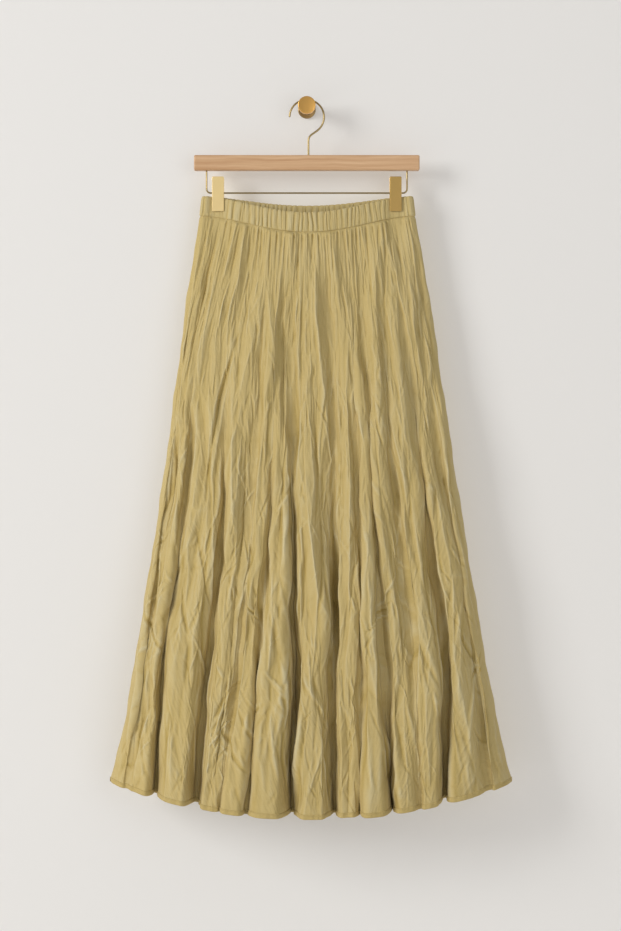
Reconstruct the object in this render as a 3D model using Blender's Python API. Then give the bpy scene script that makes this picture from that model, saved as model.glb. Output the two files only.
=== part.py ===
# Crinkle skirt with an elastic waist, held by its waistband in the two clips of a wooden hanger,
# whose hook hangs on a wall peg. Metres, +Z up. The wall is the plane Y = 0, the viewer is at -Y,
# and the origin is the middle of the peg's back face, where the peg is fixed to the wall.
from collections import namedtuple
from math import cos, pi, radians, sin

import bmesh
import bpy
import numpy as np

MM = 0.001
FRONT, BACK = 1, -1          # which way a panel bulges: towards the viewer or towards the wall

# Cloth
HANG_Y = -36 * MM            # the plane of the hook, the rail and the waist
CLOTH_WALL = 1.5 * MM
BAND_WALL = 2.6 * MM         # casing with an elastic inside it
BAND_OUT = 0.4 * MM          # how far the casing stands out from the panel below it
HEM_WALL = 2.5 * MM          # cloth turned up twice
HEM_HEIGHT = 6 * MM
SEAM_GAP = 0.3 * MM

# Heights of the edges. The waist sags between the clips, and the hem's middle hangs lowest.
BAND_TOP_Z = -131 * MM
SEAM_Z = -159.7 * MM
SIDE_HEM_Z = -977 * MM
HEM_DROP = 43 * MM
WAIST_SAG = {FRONT: 24.6 * MM, BACK: 16.5 * MM}
VALLEY_LIFT = 7 * MM         # how much higher the hem is in the deepest fold
VALLEY_NARROW = (1.4, 3.4)   # power of a fold's depth across a lobe, at the hips and below the knees
LOBE_WIDE = (1.0, 2.3)       # power of a lobe's width, likewise: the more, the steeper its sides
FOLD_FLOOR = 0.12            # share of a lobe's width that its slope keeps down to the fold's bottom
LEAN = 0.22                  # how far a leaning lobe bulges out over the fold beside it

# Columns of cloth across one panel. Near the waist each is split in two, and four halves are a gather.
COLUMNS = 80
GATHERS = 40
GATHER_DEPTH = 1.2 * MM
GATHER_END = 0.17            # share of the panel's height where the gathers have run out
BAND_V = -0.034              # the band lies above the panel, so its share is below zero
TANGENT_STEP = 0.001         # in columns
FINE_ROWS = (0, 0.045, 0.10)
COARSE_ROWS = (0.17, 0.28, 0.40, 0.52, 0.64, 0.75, 0.85, 0.93, 1)

# Cross-sections from the band's top down to the hem, in millimetres.
Section = namedtuple("Section", "v half_width middle_x side_y front_depth back_depth edge")
SECTIONS = (
    Section(BAND_V, 153.2, 1, -36, 17, 12, 5.2),
    Section(0.00, 156.6, 1, -36, 18, 13, 5.2),
    Section(0.12, 173, 2, -37, 26, 16, 5.5),
    Section(0.25, 187.5, 3, -39, 34, 23, 6.0),
    Section(0.50, 216, 4.5, -46, 50, 33, 6.5),
    Section(0.75, 248, 5, -53, 69, 43, 7.0),
    Section(0.90, 269, 6, -59, 82, 51, 7.0),
    Section(1.00, 288, 6.5, -62, 90, 56, 7.0),
)
WAIST = SECTIONS[1]
# How a cross-section rounds off towards the side seams, at the waist and below it
WAIST_POWER, WAIST_ROUND = 2.0, 2.0
SKIRT_POWER, SKIRT_ROUND = 2.5, 0.6

# The folds, one row for each valley between two lobes. Its place is a column of cloth, and then x in
# millimetres at four heights. cut is how much of the way to the middle of the skirt the valley goes,
# back is how far the lobe on its right stands back, and the leans are how far the lobes on its left
# and right bulge over it.
Fold = namedtuple(
    "Fold",
    "column hip knee calf hem hip_cut knee_cut calf_cut hem_cut back lean_left lean_right",
)
FOLD_V = (0, 0.25, 0.5, 0.75, 1)
FRONT_FOLDS = (
    Fold(4, -177, -202, -228, -257, 0.11, 0.15, 0.17, 0.20, 0.04, 0.00, 0.00),
    Fold(10, -160, -175, -203, -216, 0.26, 0.53, 0.68, 0.74, 0.00, 0.08, 0.14),
    Fold(18, -113, -119, -138, -157, 0.22, 0.46, 0.63, 0.74, 0.04, 0.12, 0.14),
    Fold(26, -68, -78, -98, -123, 0.15, 0.16, 0.20, 0.20, 0.02, 0.08, 0.08),
    Fold(30, -47, -52, -68, -86, 0.12, 0.26, 0.38, 0.40, 0.00, 0.09, 0.12),
    Fold(36, -22, -21, -19, -20, 0.20, 0.40, 0.61, 0.72, 0.03, 0.15, 0.13),
    Fold(46, 37, 39, 38, 42, 0.26, 0.42, 0.50, 0.66, 0.12, 0.13, 0.12),
    Fold(54, 69, 76, 77, 75, 0.22, 0.19, 0.27, 0.38, 0.00, 0.06, 0.15),
    Fold(58, 85, 97, 111, 123, 0.12, 0.27, 0.32, 0.62, 0.05, 0.14, 0.10),
    Fold(64, 110, 129, 152, 160, 0.18, 0.27, 0.22, 0.18, 0.02, 0.06, 0.06),
    Fold(70, 147, 171, 197, 197, 0.30, 0.53, 0.68, 0.78, 0.05, 0.18, 0.06),
    Fold(76, 176, 204, 236, 262, 0.15, 0.24, 0.27, 0.28, 0.02, 0.00, 0.00),
)
BACK_FOLDS = (
    Fold(8, -151, -174, -199, -226, 0.14, 0.27, 0.40, 0.50, 0.04, 0.06, 0.10),
    Fold(18, -104, -121, -137, -163, 0.17, 0.32, 0.47, 0.60, 0.00, 0.10, 0.10),
    Fold(28, -58, -64, -82, -96, 0.11, 0.22, 0.36, 0.42, 0.06, 0.08, 0.08),
    Fold(38, -10, -16, -14, -23, 0.17, 0.35, 0.50, 0.62, 0.00, 0.12, 0.10),
    Fold(48, 37, 45, 52, 66, 0.14, 0.26, 0.41, 0.52, 0.05, 0.08, 0.10),
    Fold(56, 72, 85, 99, 108, 0.09, 0.21, 0.31, 0.46, 0.02, 0.06, 0.08),
    Fold(66, 119, 135, 158, 178, 0.17, 0.34, 0.47, 0.60, 0.04, 0.10, 0.08),
    Fold(74, 154, 180, 206, 238, 0.12, 0.24, 0.36, 0.46, 0.02, 0.06, 0.06),
)
FOLDS = {FRONT: FRONT_FOLDS, BACK: BACK_FOLDS}

# Hanger
BAR = (327 * MM, 14 * MM, 22.2 * MM)
BAR_TOP_Z = -71.5 * MM
BAR_EDGE = 1.6 * MM
HOOK_WIRE = 2.8 * MM
HOOK_RADIUS = 25 * MM
HOOK_TIP_ANGLE, HOOK_LEAVE_ANGLE = 178, -55    # where the round part ends, in degrees
HOOK_BEND = 6 * MM
HOOK_STEM_X = 2.4 * MM
HOOK_FOOT_Z = -83 * MM
RAIL_WIRE = 2.4 * MM
RAIL_HALF = 145.5 * MM
RAIL_Z = -126.1 * MM
RAIL_CORNER = 6 * MM
RAIL_END_Z = -85 * MM
HOLE_CLEARANCE = 0.3 * MM

# Clips
CLIP_X = 128.8 * MM
CLIP_PLATE = (17 * MM, 1.6 * MM, 50.3 * MM)
CLIP_TOP_Z = -102.8 * MM
CLIP_BAND = 6.0 * MM         # from the waist's plane to a plate's inner face
CLIP_BARREL_LENGTH = 12 * MM
CLIP_PINCH = 0.4             # share of the waist's depth that a clip presses away
CLIP_PINCH_WIDTH = 14 * MM
CLIP_PINCH_END = 0.08

# Wall peg, turned about Y
PEG_LENGTH = 50 * MM
PEG_FLANGE = (13 * MM, 4 * MM)     # radius, length
PEG_STEM_RADIUS = 7.7 * MM
PEG_HEAD = (12.8 * MM, 8 * MM)       # radius, length
PEG_EDGE = 0.8 * MM
PEG_SIDES = 28

CLOTH_COLOUR = (0.47, 0.355, 0.155)
WOOD_COLOUR = (0.58, 0.35, 0.18)
BRASS_COLOUR = (0.70, 0.50, 0.20)


def clear_scene():
    for obj in list(bpy.data.objects):
        bpy.data.objects.remove(obj, do_unlink=True)


def material(name, colour, roughness, metallic=0.0):
    made = bpy.data.materials.new(name)
    made.use_nodes = True
    shader = made.node_tree.nodes["Principled BSDF"]
    shader.inputs["Base Color"].default_value = (*colour, 1)
    shader.inputs["Roughness"].default_value = roughness
    shader.inputs["Metallic"].default_value = metallic
    return made


def add_object(name, data, look):
    obj = bpy.data.objects.new(name, data)
    obj.data.materials.append(look)
    bpy.context.scene.collection.objects.link(obj)
    return obj


def eased(v, knots, values):
    """A smooth curve through values, which stand at knots, read at v."""
    knots, values = np.asarray(knots, float), np.asarray(values, float)
    slopes = np.gradient(values, knots, axis=0)
    i = int(np.clip(np.searchsorted(knots, v) - 1, 0, len(knots) - 2))
    step = knots[i + 1] - knots[i]
    t = (v - knots[i]) / step
    start, end = values[i], values[i + 1]
    return (
        (2 * t**3 - 3 * t**2 + 1) * start
        + (t**3 - 2 * t**2 + t) * step * slopes[i]
        + (3 * t**2 - 2 * t**3) * end
        + (t**3 - t**2) * step * slopes[i + 1]
    )


def smoothstep(low, high, value):
    t = np.clip((value - low) / (high - low), 0, 1)
    return t * t * (3 - 2 * t)


def section_at(v):
    """The cross-section's sizes at height share v, in metres."""
    rows = np.array([row[1:] for row in SECTIONS]) * MM
    return Section(v, *eased(v, [row.v for row in SECTIONS], rows))


def clip_pinch(v, x):
    """How much a clip presses the waist flat there, 0 to CLIP_PINCH."""
    beside = np.exp(-(((np.abs(x) - CLIP_X) / CLIP_PINCH_WIDTH) ** 4))
    return CLIP_PINCH * beside * (1 - smoothstep(0, CLIP_PINCH_END, v))


def depth_at(v, side, x):
    """From the skirt's middle out to its lobes, at x."""
    size = section_at(v)
    depth = size.front_depth if side == FRONT else size.back_depth
    across = np.clip(np.abs(x - size.middle_x) / size.half_width, 0, 1)
    at_waist = 1 - smoothstep(0, 0.2, v)
    power = at_waist * WAIST_POWER + (1 - at_waist) * SKIRT_POWER
    rounding = at_waist * WAIST_ROUND + (1 - at_waist) * SKIRT_ROUND
    shape = (1 - across**power) ** rounding
    return (size.edge + (depth - size.edge) * shape) * (1 - clip_pinch(v, x))


def valley_at(v, fold):
    """x and cut of a fold's valley at height share v."""
    across = 2 * fold.column / COLUMNS - 1
    if v <= 0:
        size = section_at(v)
        return size.middle_x + across * size.half_width, 0
    waist_x = WAIST.middle_x + across * WAIST.half_width
    xs = (waist_x, fold.hip, fold.knee, fold.calf, fold.hem)
    cuts = (0, fold.hip_cut, fold.knee_cut, fold.calf_cut, fold.hem_cut)
    return eased(v, FOLD_V, xs) * MM, eased(v, FOLD_V, cuts)


def interleave(outer, inner):
    """outer[0], inner[0], outer[1] and so on, up to the last of outer."""
    mixed = np.empty(len(outer) + len(inner))
    mixed[::2], mixed[1::2] = outer, inner
    return mixed


def stations_at(v, side):
    """Columns, x and cuts of seam, crest, valley, crest and so on to the other seam, and the leans
    between them, at height share v."""
    size = section_at(v)
    folds = FOLDS[side]
    valley_x, valley_cut = zip(*(valley_at(v, fold) for fold in folds))
    leaning, set_back = smoothstep(0.2, 0.85, v), smoothstep(0.1, 0.9, v)
    columns = np.array([0, *(fold.column for fold in folds), COLUMNS], float)
    x = np.array([size.middle_x - size.half_width, *valley_x, size.middle_x + size.half_width])
    cut = [0, *valley_cut, 0]
    crest_cut = [0, *(fold.back * set_back for fold in folds)]
    lean = [leaning * turn for fold in folds for turn in (fold.lean_left, fold.lean_right)]
    return (
        interleave(columns, (columns[1:] + columns[:-1]) / 2),
        interleave(x, (x[1:] + x[:-1]) / 2),
        interleave(cut, crest_cut),
        np.array([0, *lean, 0]),
    )


def curve_at(v, side, columns):
    """The panel's level curve at height share v: x, y and cut for each column of cloth."""
    station, station_x, station_cut, lean = stations_at(v, side)
    i = np.clip(np.searchsorted(station, columns, side="right") - 1, 0, len(station) - 2)
    f = (columns - station[i]) / (station[i + 1] - station[i])
    first, last = i == 0, i == len(station) - 2
    inward = i % 2 == 1
    from_crest = np.where(inward, f, 1 - f)
    lower = smoothstep(0.18, 0.62, v)
    wide = LOBE_WIDE[0] + (LOBE_WIDE[1] - LOBE_WIDE[0]) * lower
    away = (1 - FOLD_FLOOR) * (1 - (1 - from_crest) ** wide) + FOLD_FLOOR * from_crest
    away = away + LEAN * np.abs(lean[i]) * np.sin(pi * from_crest**2) ** 2
    along = np.where(inward, away, 1 - away)
    along = np.where(first, 1 - np.cos(pi / 2 * f), np.where(last, np.sin(pi / 2 * f), along))
    x = station_x[i] + (station_x[i + 1] - station_x[i]) * along
    crest = np.where(inward, station_cut[i], station_cut[i + 1])
    valley = np.where(inward, station_cut[i + 1], station_cut[i])
    power = VALLEY_NARROW[0] + (VALLEY_NARROW[1] - VALLEY_NARROW[0]) * lower
    cut = crest + (valley - crest) * ((1 - np.cos(pi * from_crest)) / 2) ** power
    round_edge = np.where(first, np.sin(pi / 2 * f), np.where(last, np.cos(pi / 2 * f), 1))
    y = section_at(v).side_y - side * (depth_at(v, side, x) * (1 - cut) * round_edge + SEAM_GAP / 2)
    return x, y, cut


def height_at(v, side, columns, x, cut):
    """z of the cloth at those columns and x."""
    size = section_at(v)
    sag = WAIST_SAG[side] * (1 - (2 * columns / COLUMNS - 1) ** 2) ** 2
    if v < 0:
        return BAND_TOP_Z + (SEAM_Z - BAND_TOP_Z) * (1 - v / BAND_V) - sag
    across = np.clip(np.abs(x - size.middle_x) / size.half_width, 0, 1)
    hem = SIDE_HEM_Z - HEM_DROP * (1 - across**2) + HEM_HEIGHT
    return (SEAM_Z - sag) * (1 - v) + hem * v + VALLEY_LIFT * cut * v**2


def gather_at(v, x, columns):
    """How far the gathers push the cloth out."""
    fade = 1 - smoothstep(0, GATHER_END, v)
    calm = 1 - 2 * clip_pinch(v, x)
    edge = np.clip(np.minimum(columns, COLUMNS - columns) / 3, 0, 1)
    return GATHER_DEPTH * fade * calm * edge * np.cos(2 * pi * GATHERS * columns / COLUMNS)


def wall_row(v, side, columns, wall, outset=0.0, drop=0.0):
    """One row of the cloth's wall: its outer points and its inner points."""
    x, y, cut = curve_at(v, side, columns)
    ahead = curve_at(v, side, np.minimum(columns + TANGENT_STEP, COLUMNS))
    behind = curve_at(v, side, np.maximum(columns - TANGENT_STEP, 0))
    tangent = np.array([ahead[0] - behind[0], ahead[1] - behind[1]])
    tangent /= np.linalg.norm(tangent, axis=0)
    normal = side * np.array([tangent[1], -tangent[0]])
    z = height_at(v, side, columns, x, cut) - drop
    out = gather_at(v, x, columns) + outset
    outer = np.stack([x + normal[0] * out, y + normal[1] * out, z], axis=1)
    inner = outer - wall * np.stack([normal[0], normal[1], np.zeros_like(x)], axis=1)
    return outer, inner


def join_rows(mesh, upper, lower):
    """Faces between two rows, of which the upper may have two points for each of the lower's."""
    if len(upper) == len(lower):
        for i in range(len(upper) - 1):
            mesh.faces.new((upper[i], lower[i], lower[i + 1], upper[i + 1]))
        return
    for i in range(len(lower) - 1):
        a, b, c = upper[2 * i], upper[2 * i + 1], upper[2 * i + 2]
        mesh.faces.new((a, lower[i], b))
        mesh.faces.new((b, lower[i], lower[i + 1]))
        mesh.faces.new((b, lower[i + 1], c))


def cloth_wall(name, rows, look):
    """A closed wall from its rows, top to bottom, each of outer and inner points."""
    mesh = bmesh.new()
    outer = [[mesh.verts.new(p) for p in row[0]] for row in rows]
    inner = [[mesh.verts.new(p) for p in row[1]] for row in rows]
    for i in range(len(rows) - 1):
        join_rows(mesh, outer[i], outer[i + 1])
        join_rows(mesh, inner[i], inner[i + 1])
        for end in (0, -1):
            mesh.faces.new((outer[i][end], outer[i + 1][end], inner[i + 1][end], inner[i][end]))
    join_rows(mesh, inner[0], outer[0])
    join_rows(mesh, outer[-1], inner[-1])
    bmesh.ops.recalc_face_normals(mesh, faces=mesh.faces)
    data = bpy.data.meshes.new(name)
    mesh.to_mesh(data)
    mesh.free()
    data.shade_smooth()
    data.set_sharp_from_angle(angle=radians(60))
    add_object(name, data, look)


def skirt_panel(name, side, look):
    fine = np.arange(0, COLUMNS + 0.25, 0.5)
    coarse = np.arange(COLUMNS + 1.0)
    rows = [
        wall_row(v, side, fine, CLOTH_WALL, drop=SEAM_GAP if v == 0 else 0) for v in FINE_ROWS
    ]
    rows += [wall_row(v, side, coarse, CLOTH_WALL) for v in COARSE_ROWS]
    cloth_wall(name, rows, look)


def waistband(name, side, look):
    fine = np.arange(0, COLUMNS + 0.25, 0.5)
    rows = [wall_row(v, side, fine, BAND_WALL, outset=BAND_OUT) for v in (BAND_V, 0)]
    cloth_wall(name, rows, look)


def hem(name, side, look):
    coarse = np.arange(COLUMNS + 1.0)
    out = (HEM_WALL - CLOTH_WALL) / 2
    rows = [
        wall_row(1, side, coarse, HEM_WALL, outset=out, drop=drop)
        for drop in (SEAM_GAP, HEM_HEIGHT)
    ]
    cloth_wall(name, rows, look)


def box(name, size, centre, look, edge=0.0):
    mesh = bmesh.new()
    bmesh.ops.create_cube(mesh, size=1)
    bmesh.ops.scale(mesh, vec=size, verts=mesh.verts)
    if edge:
        bmesh.ops.bevel(
            mesh, geom=list(mesh.edges), offset=edge, segments=2, affect="EDGES", profile=0.5
        )
    data = bpy.data.meshes.new(name)
    mesh.to_mesh(data)
    mesh.free()
    obj = add_object(name, data, look)
    obj.location = centre
    return obj


def drill(obj, name, radius, top, bottom, x):
    """Cuts a round upright hole into obj."""
    mesh = bmesh.new()
    bmesh.ops.create_cone(
        mesh, cap_ends=True, segments=12, radius1=radius, radius2=radius, depth=top - bottom
    )
    data = bpy.data.meshes.new(name)
    mesh.to_mesh(data)
    mesh.free()
    cutter = bpy.data.objects.new(name, data)
    bpy.context.scene.collection.objects.link(cutter)
    cutter.location = (x, HANG_Y, (top + bottom) / 2)
    cutter.hide_render = True
    cutter.display_type = "WIRE"
    cut = obj.modifiers.new(name, "BOOLEAN")
    cut.operation = "DIFFERENCE"
    cut.object = cutter


def wire(name, points, diameter, look):
    curve = bpy.data.curves.new(name, "CURVE")
    curve.dimensions = "3D"
    curve.bevel_depth = diameter / 2
    curve.bevel_resolution = 2
    curve.use_fill_caps = True
    spline = curve.splines.new("POLY")
    spline.points.add(len(points) - 1)
    for point, place in zip(spline.points, points):
        point.co = (*place, 1)
    add_object(name, curve, look)


def arc(centre, radius, start, end, steps):
    """Points in the hanger's plane round centre (x, z), from angle start to end in degrees."""
    angles = np.radians(np.linspace(start, end, steps + 1))
    return [(centre[0] + radius * cos(a), HANG_Y, centre[1] + radius * sin(a)) for a in angles]


def hanger_bar(look):
    centre_z = BAR_TOP_Z - BAR[2] / 2
    bar = box("hanger_bar", BAR, (0, HANG_Y, centre_z), look, BAR_EDGE)
    past_bar = 2 * MM
    hook_hole = HOOK_WIRE / 2 + HOLE_CLEARANCE
    hook_bottom = HOOK_FOOT_Z - HOLE_CLEARANCE
    drill(bar, "hook_hole", hook_hole, BAR_TOP_Z + past_bar, hook_bottom, HOOK_STEM_X)
    rail_hole = RAIL_WIRE / 2 + HOLE_CLEARANCE
    rail_top, rail_bottom = RAIL_END_Z + HOLE_CLEARANCE, BAR_TOP_Z - BAR[2] - past_bar
    drill(bar, "rail_hole_left", rail_hole, rail_top, rail_bottom, -RAIL_HALF)
    drill(bar, "rail_hole_right", rail_hole, rail_top, rail_bottom, RAIL_HALF)


def hanger_hook(look):
    """A round hook over the peg's stem, whose lower end turns down into the bar."""
    centre = (0, PEG_STEM_RADIUS + SEAM_GAP + HOOK_WIRE / 2 - HOOK_RADIUS)
    points = arc(centre, HOOK_RADIUS, HOOK_TIP_ANGLE, HOOK_LEAVE_ANGLE, 18)
    start = np.array([points[-1][0], points[-1][2]])
    slope = np.array([sin(radians(HOOK_LEAVE_ANGLE)), -cos(radians(HOOK_LEAVE_ANGLE))])
    corner = start + slope * (HOOK_STEM_X - start[0]) / slope[0]
    before = corner - slope * HOOK_BEND
    after = corner - np.array([0, HOOK_BEND])
    for t in np.linspace(0, 1, 6):
        x, z = (1 - t) ** 2 * before + 2 * t * (1 - t) * corner + t * t * after
        points.append((x, HANG_Y, z))
    points.append((HOOK_STEM_X, HANG_Y, HOOK_FOOT_Z))
    wire("hanger_hook", points, HOOK_WIRE, look)


def hanger_rail(look):
    """The wire under the bar that the clips slide on."""
    middle = (RAIL_HALF - RAIL_CORNER, RAIL_Z + RAIL_CORNER)
    points = [(-RAIL_HALF, HANG_Y, RAIL_END_Z)]
    points += arc((-middle[0], middle[1]), RAIL_CORNER, 180, 270, 4)
    points += arc(middle, RAIL_CORNER, 270, 360, 4)
    points.append((RAIL_HALF, HANG_Y, RAIL_END_Z))
    wire("hanger_rail", points, RAIL_WIRE, look)


def clip(where, x, look):
    """Two flat plates that grip the waistband, and between them the barrel that rides on the rail."""
    width, thick, height = CLIP_PLATE
    centre_z = CLIP_TOP_Z - height / 2
    reach = CLIP_BAND + thick / 2
    for name, y in (("front", HANG_Y - reach), ("back", HANG_Y + reach)):
        box(f"clip_{name}_{where}", CLIP_PLATE, (x, y, centre_z), look, 0.3 * MM)
    outer, inner = CLIP_BAND - SEAM_GAP, RAIL_WIRE / 2 + HOLE_CLEARANCE
    half = CLIP_BARREL_LENGTH / 2
    profile = [(inner, -half), (outer, -half), (outer, half), (inner, half)]
    barrel = turned(f"clip_barrel_{where}", profile, 16, look, closed=True)
    barrel.location = (x, HANG_Y, RAIL_Z)
    barrel.rotation_euler = (0, pi / 2, 0)


def turned(name, profile, sides, look, closed=False):
    """A solid turned about its own Z from (radius, height) pairs. A closed profile makes a ring."""
    mesh = bmesh.new()
    rings = []
    for radius, height in profile:
        angles = [2 * pi * i / sides for i in range(sides)]
        rings.append([mesh.verts.new((radius * cos(a), radius * sin(a), height)) for a in angles])
    pairs = list(zip(rings, rings[1:]))
    if closed:
        pairs.append((rings[-1], rings[0]))
    for low, high in pairs:
        for i in range(sides):
            j = (i + 1) % sides
            mesh.faces.new((low[i], low[j], high[j], high[i]))
    if not closed:
        mesh.faces.new(rings[0])
        mesh.faces.new(rings[-1])
    bmesh.ops.recalc_face_normals(mesh, faces=mesh.faces)
    data = bpy.data.meshes.new(name)
    mesh.to_mesh(data)
    mesh.free()
    data.shade_smooth()
    data.set_sharp_from_angle(angle=radians(35))
    return add_object(name, data, look)


def wall_peg(look):
    """A flange on the wall, a thinner stem for the hook and a round head that keeps it on."""
    flange_radius, flange_length = PEG_FLANGE
    head_radius, head_length = PEG_HEAD
    head_back = PEG_LENGTH - head_length
    profile = [
        (flange_radius, 0),
        (flange_radius, flange_length - PEG_EDGE),
        (flange_radius - PEG_EDGE, flange_length),
        (PEG_STEM_RADIUS, flange_length),
        (PEG_STEM_RADIUS, head_back),
        (head_radius - PEG_EDGE, head_back),
        (head_radius, head_back + PEG_EDGE),
        (head_radius, PEG_LENGTH - PEG_EDGE),
        (head_radius - PEG_EDGE, PEG_LENGTH),
    ]
    peg = turned("wall_peg", profile, PEG_SIDES, look)
    peg.rotation_euler = (pi / 2, 0, 0)


def main():
    clear_scene()
    cloth = material("crinkle cloth", CLOTH_COLOUR, 0.7)
    wood = material("hanger wood", WOOD_COLOUR, 0.55)
    brass = material("satin brass", BRASS_COLOUR, 0.35, 1.0)
    for name, side in (("front", FRONT), ("back", BACK)):
        waistband(f"waistband_{name}", side, cloth)
        skirt_panel(f"skirt_{name}", side, cloth)
        hem(f"hem_{name}", side, cloth)
    hanger_bar(wood)
    hanger_hook(brass)
    hanger_rail(brass)
    clip("left", -CLIP_X, brass)
    clip("right", CLIP_X, brass)
    wall_peg(brass)


main()
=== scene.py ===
from collections import namedtuple
from math import cos, pi, radians, sin

import bmesh
import bpy
import numpy as np
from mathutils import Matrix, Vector
from mathutils.geometry import delaunay_2d_cdt


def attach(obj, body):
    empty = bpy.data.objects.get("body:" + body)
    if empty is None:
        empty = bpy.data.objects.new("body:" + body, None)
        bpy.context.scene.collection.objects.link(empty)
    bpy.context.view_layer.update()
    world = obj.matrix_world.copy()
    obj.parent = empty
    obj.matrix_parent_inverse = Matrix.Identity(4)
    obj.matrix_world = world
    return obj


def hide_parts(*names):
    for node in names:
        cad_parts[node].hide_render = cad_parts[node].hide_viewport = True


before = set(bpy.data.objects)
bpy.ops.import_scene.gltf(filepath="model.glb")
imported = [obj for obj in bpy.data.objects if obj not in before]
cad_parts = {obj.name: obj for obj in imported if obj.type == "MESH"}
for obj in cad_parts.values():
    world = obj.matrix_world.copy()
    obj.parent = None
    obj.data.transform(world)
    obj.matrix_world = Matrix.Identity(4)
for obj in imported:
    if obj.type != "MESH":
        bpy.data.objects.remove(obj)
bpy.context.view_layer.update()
mm = 0.001
front, back = 1, -1  # which way a panel bulges: towards the viewer or towards the wall

# The garment's own sizes, the same as the solids are made from
hangY = -36 * mm
bandTopZ, seamZ, sideHemZ = -131 * mm, -159.7 * mm, -977 * mm
hemDrop, hemHeight, valleyLift = 43 * mm, 6 * mm, 7 * mm
waistSag = {front: 24.6 * mm, back: 16.5 * mm}
columnCount = 80
bandV = -0.034  # height share of the band's top; the waist seam is 0 and the hem 1
clipX = 128.8 * mm

# Cross-sections from the band's top down to the hem, in millimetres
Section = namedtuple("Section", "v halfWidth middleX sideY frontDepth backDepth edge")
sections = [Section(*row) for row in (
    (bandV, 153.2, 1, -36, 17, 12, 5.2),
    (0.00, 156.6, 1, -36, 18, 13, 5.2),
    (0.12, 173, 2, -37, 26, 16, 5.5),
    (0.25, 187.5, 3, -39, 34, 23, 6.0),
    (0.50, 216, 4.5, -46, 50, 33, 6.5),
    (0.75, 248, 5, -53, 69, 43, 7.0),
    (0.90, 269, 6, -59, 82, 51, 7.0),
    (1.00, 288, 6.5, -62, 90, 56, 7.0),
)]
waist = sections[1]

# The large folds, a row for each valley: its column, its x at four heights, how deep it goes there,
# how far the lobe on its right stands back, and how far the lobes on each side bulge over it
Fold = namedtuple(
    "Fold",
    "column hip knee calf hem hipCut kneeCut calfCut hemCut back leanLeft leanRight",
)
foldV = (0, 0.25, 0.5, 0.75, 1)
folds = {
    front: [Fold(*row) for row in (
        (4, -177, -202, -228, -257, 0.11, 0.15, 0.17, 0.20, 0.04, 0.00, 0.00),
        (10, -160, -175, -203, -216, 0.26, 0.53, 0.68, 0.74, 0.00, 0.08, 0.14),
        (18, -113, -119, -138, -157, 0.22, 0.46, 0.63, 0.74, 0.04, 0.12, 0.14),
        (26, -68, -78, -98, -123, 0.15, 0.16, 0.20, 0.20, 0.02, 0.08, 0.08),
        (30, -47, -52, -68, -86, 0.12, 0.26, 0.32, 0.30, 0.00, 0.04, 0.04),
        (36, -22, -21, -19, -20, 0.20, 0.40, 0.61, 0.72, 0.03, 0.15, 0.13),
        (46, 37, 39, 38, 42, 0.26, 0.42, 0.50, 0.66, 0.12, 0.13, 0.12),
        (54, 69, 76, 77, 75, 0.22, 0.19, 0.27, 0.38, 0.00, 0.06, 0.15),
        (58, 85, 97, 111, 123, 0.12, 0.27, 0.32, 0.62, 0.05, 0.14, 0.10),
        (64, 110, 129, 152, 160, 0.18, 0.27, 0.22, 0.18, 0.02, 0.06, 0.06),
        (70, 147, 171, 197, 197, 0.30, 0.53, 0.68, 0.78, 0.05, 0.18, 0.06),
        (76, 176, 204, 236, 262, 0.15, 0.24, 0.27, 0.28, 0.02, 0.00, 0.00),
    )],
    back: [Fold(*row) for row in (
        (8, -151, -174, -199, -226, 0.14, 0.27, 0.40, 0.50, 0.04, 0.06, 0.10),
        (18, -104, -121, -137, -163, 0.17, 0.32, 0.47, 0.60, 0.00, 0.10, 0.10),
        (28, -58, -64, -82, -96, 0.11, 0.22, 0.36, 0.42, 0.06, 0.08, 0.08),
        (38, -10, -16, -14, -23, 0.17, 0.35, 0.50, 0.62, 0.00, 0.12, 0.10),
        (48, 37, 45, 52, 66, 0.14, 0.26, 0.41, 0.52, 0.05, 0.08, 0.10),
        (56, 72, 85, 99, 108, 0.09, 0.21, 0.31, 0.46, 0.02, 0.06, 0.08),
        (66, 119, 135, 158, 178, 0.17, 0.34, 0.47, 0.60, 0.04, 0.10, 0.08),
        (74, 154, 180, 206, 238, 0.12, 0.24, 0.36, 0.46, 0.02, 0.06, 0.06),
    )],
}

# How the fine surface shapes the folds. Its powers are for the hips, and below the knees for a fold's
# left side, which slopes, and its steep right side
foldShape = {
    "depth": 0.80,  # share of the solids' depth
    "narrow": (1.35, 2.0, 3.0),  # power of the depth across a lobe: the more, the narrower the fold
    "wide": (1.0, 1.5, 2.3),  # power of a lobe's width: the more, the steeper its sides
    "slope": 0.12,  # share of a lobe's width that its slope keeps down to the fold's bottom
    "flatWidth": 0.10,  # a fold's flat bottom below the knees: its share of the width
    "flatCloth": 0.12,  # and of the cloth
    "lean": 0.22,  # how far a leaning lobe bulges out over the fold beside it
    "lower": (0.18, 0.62), "leans": (0.2, 0.85), "setsBack": (0.1, 0.9),  # from none to full, in height
}
# How the folds wander on their way down: millimetres, share of depth, turns, and from where to where
wander = {
    "sideways": 1.7, "depth": 0.10, "turns": 4.3, "depthTurns": 0.8, "starts": (0.02, 0.15),
    "ends": (0.9, 1, 1, -0.7),
}
# The cross-section's powers, at the waist and below it
roundness = {"power": (2.0, 2.5), "rounding": (2.0, 0.6), "below": (0, 0.2)}
clipPress = {"reach": 14 * mm, "power": 4, "share": 0.4, "fades": (0, 0.08)}
# Columns lie less closely where a fold's side hides them, against 1 where the cloth faces out
columnSpread = {"hidden": 0.45, "samples": 24}


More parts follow.
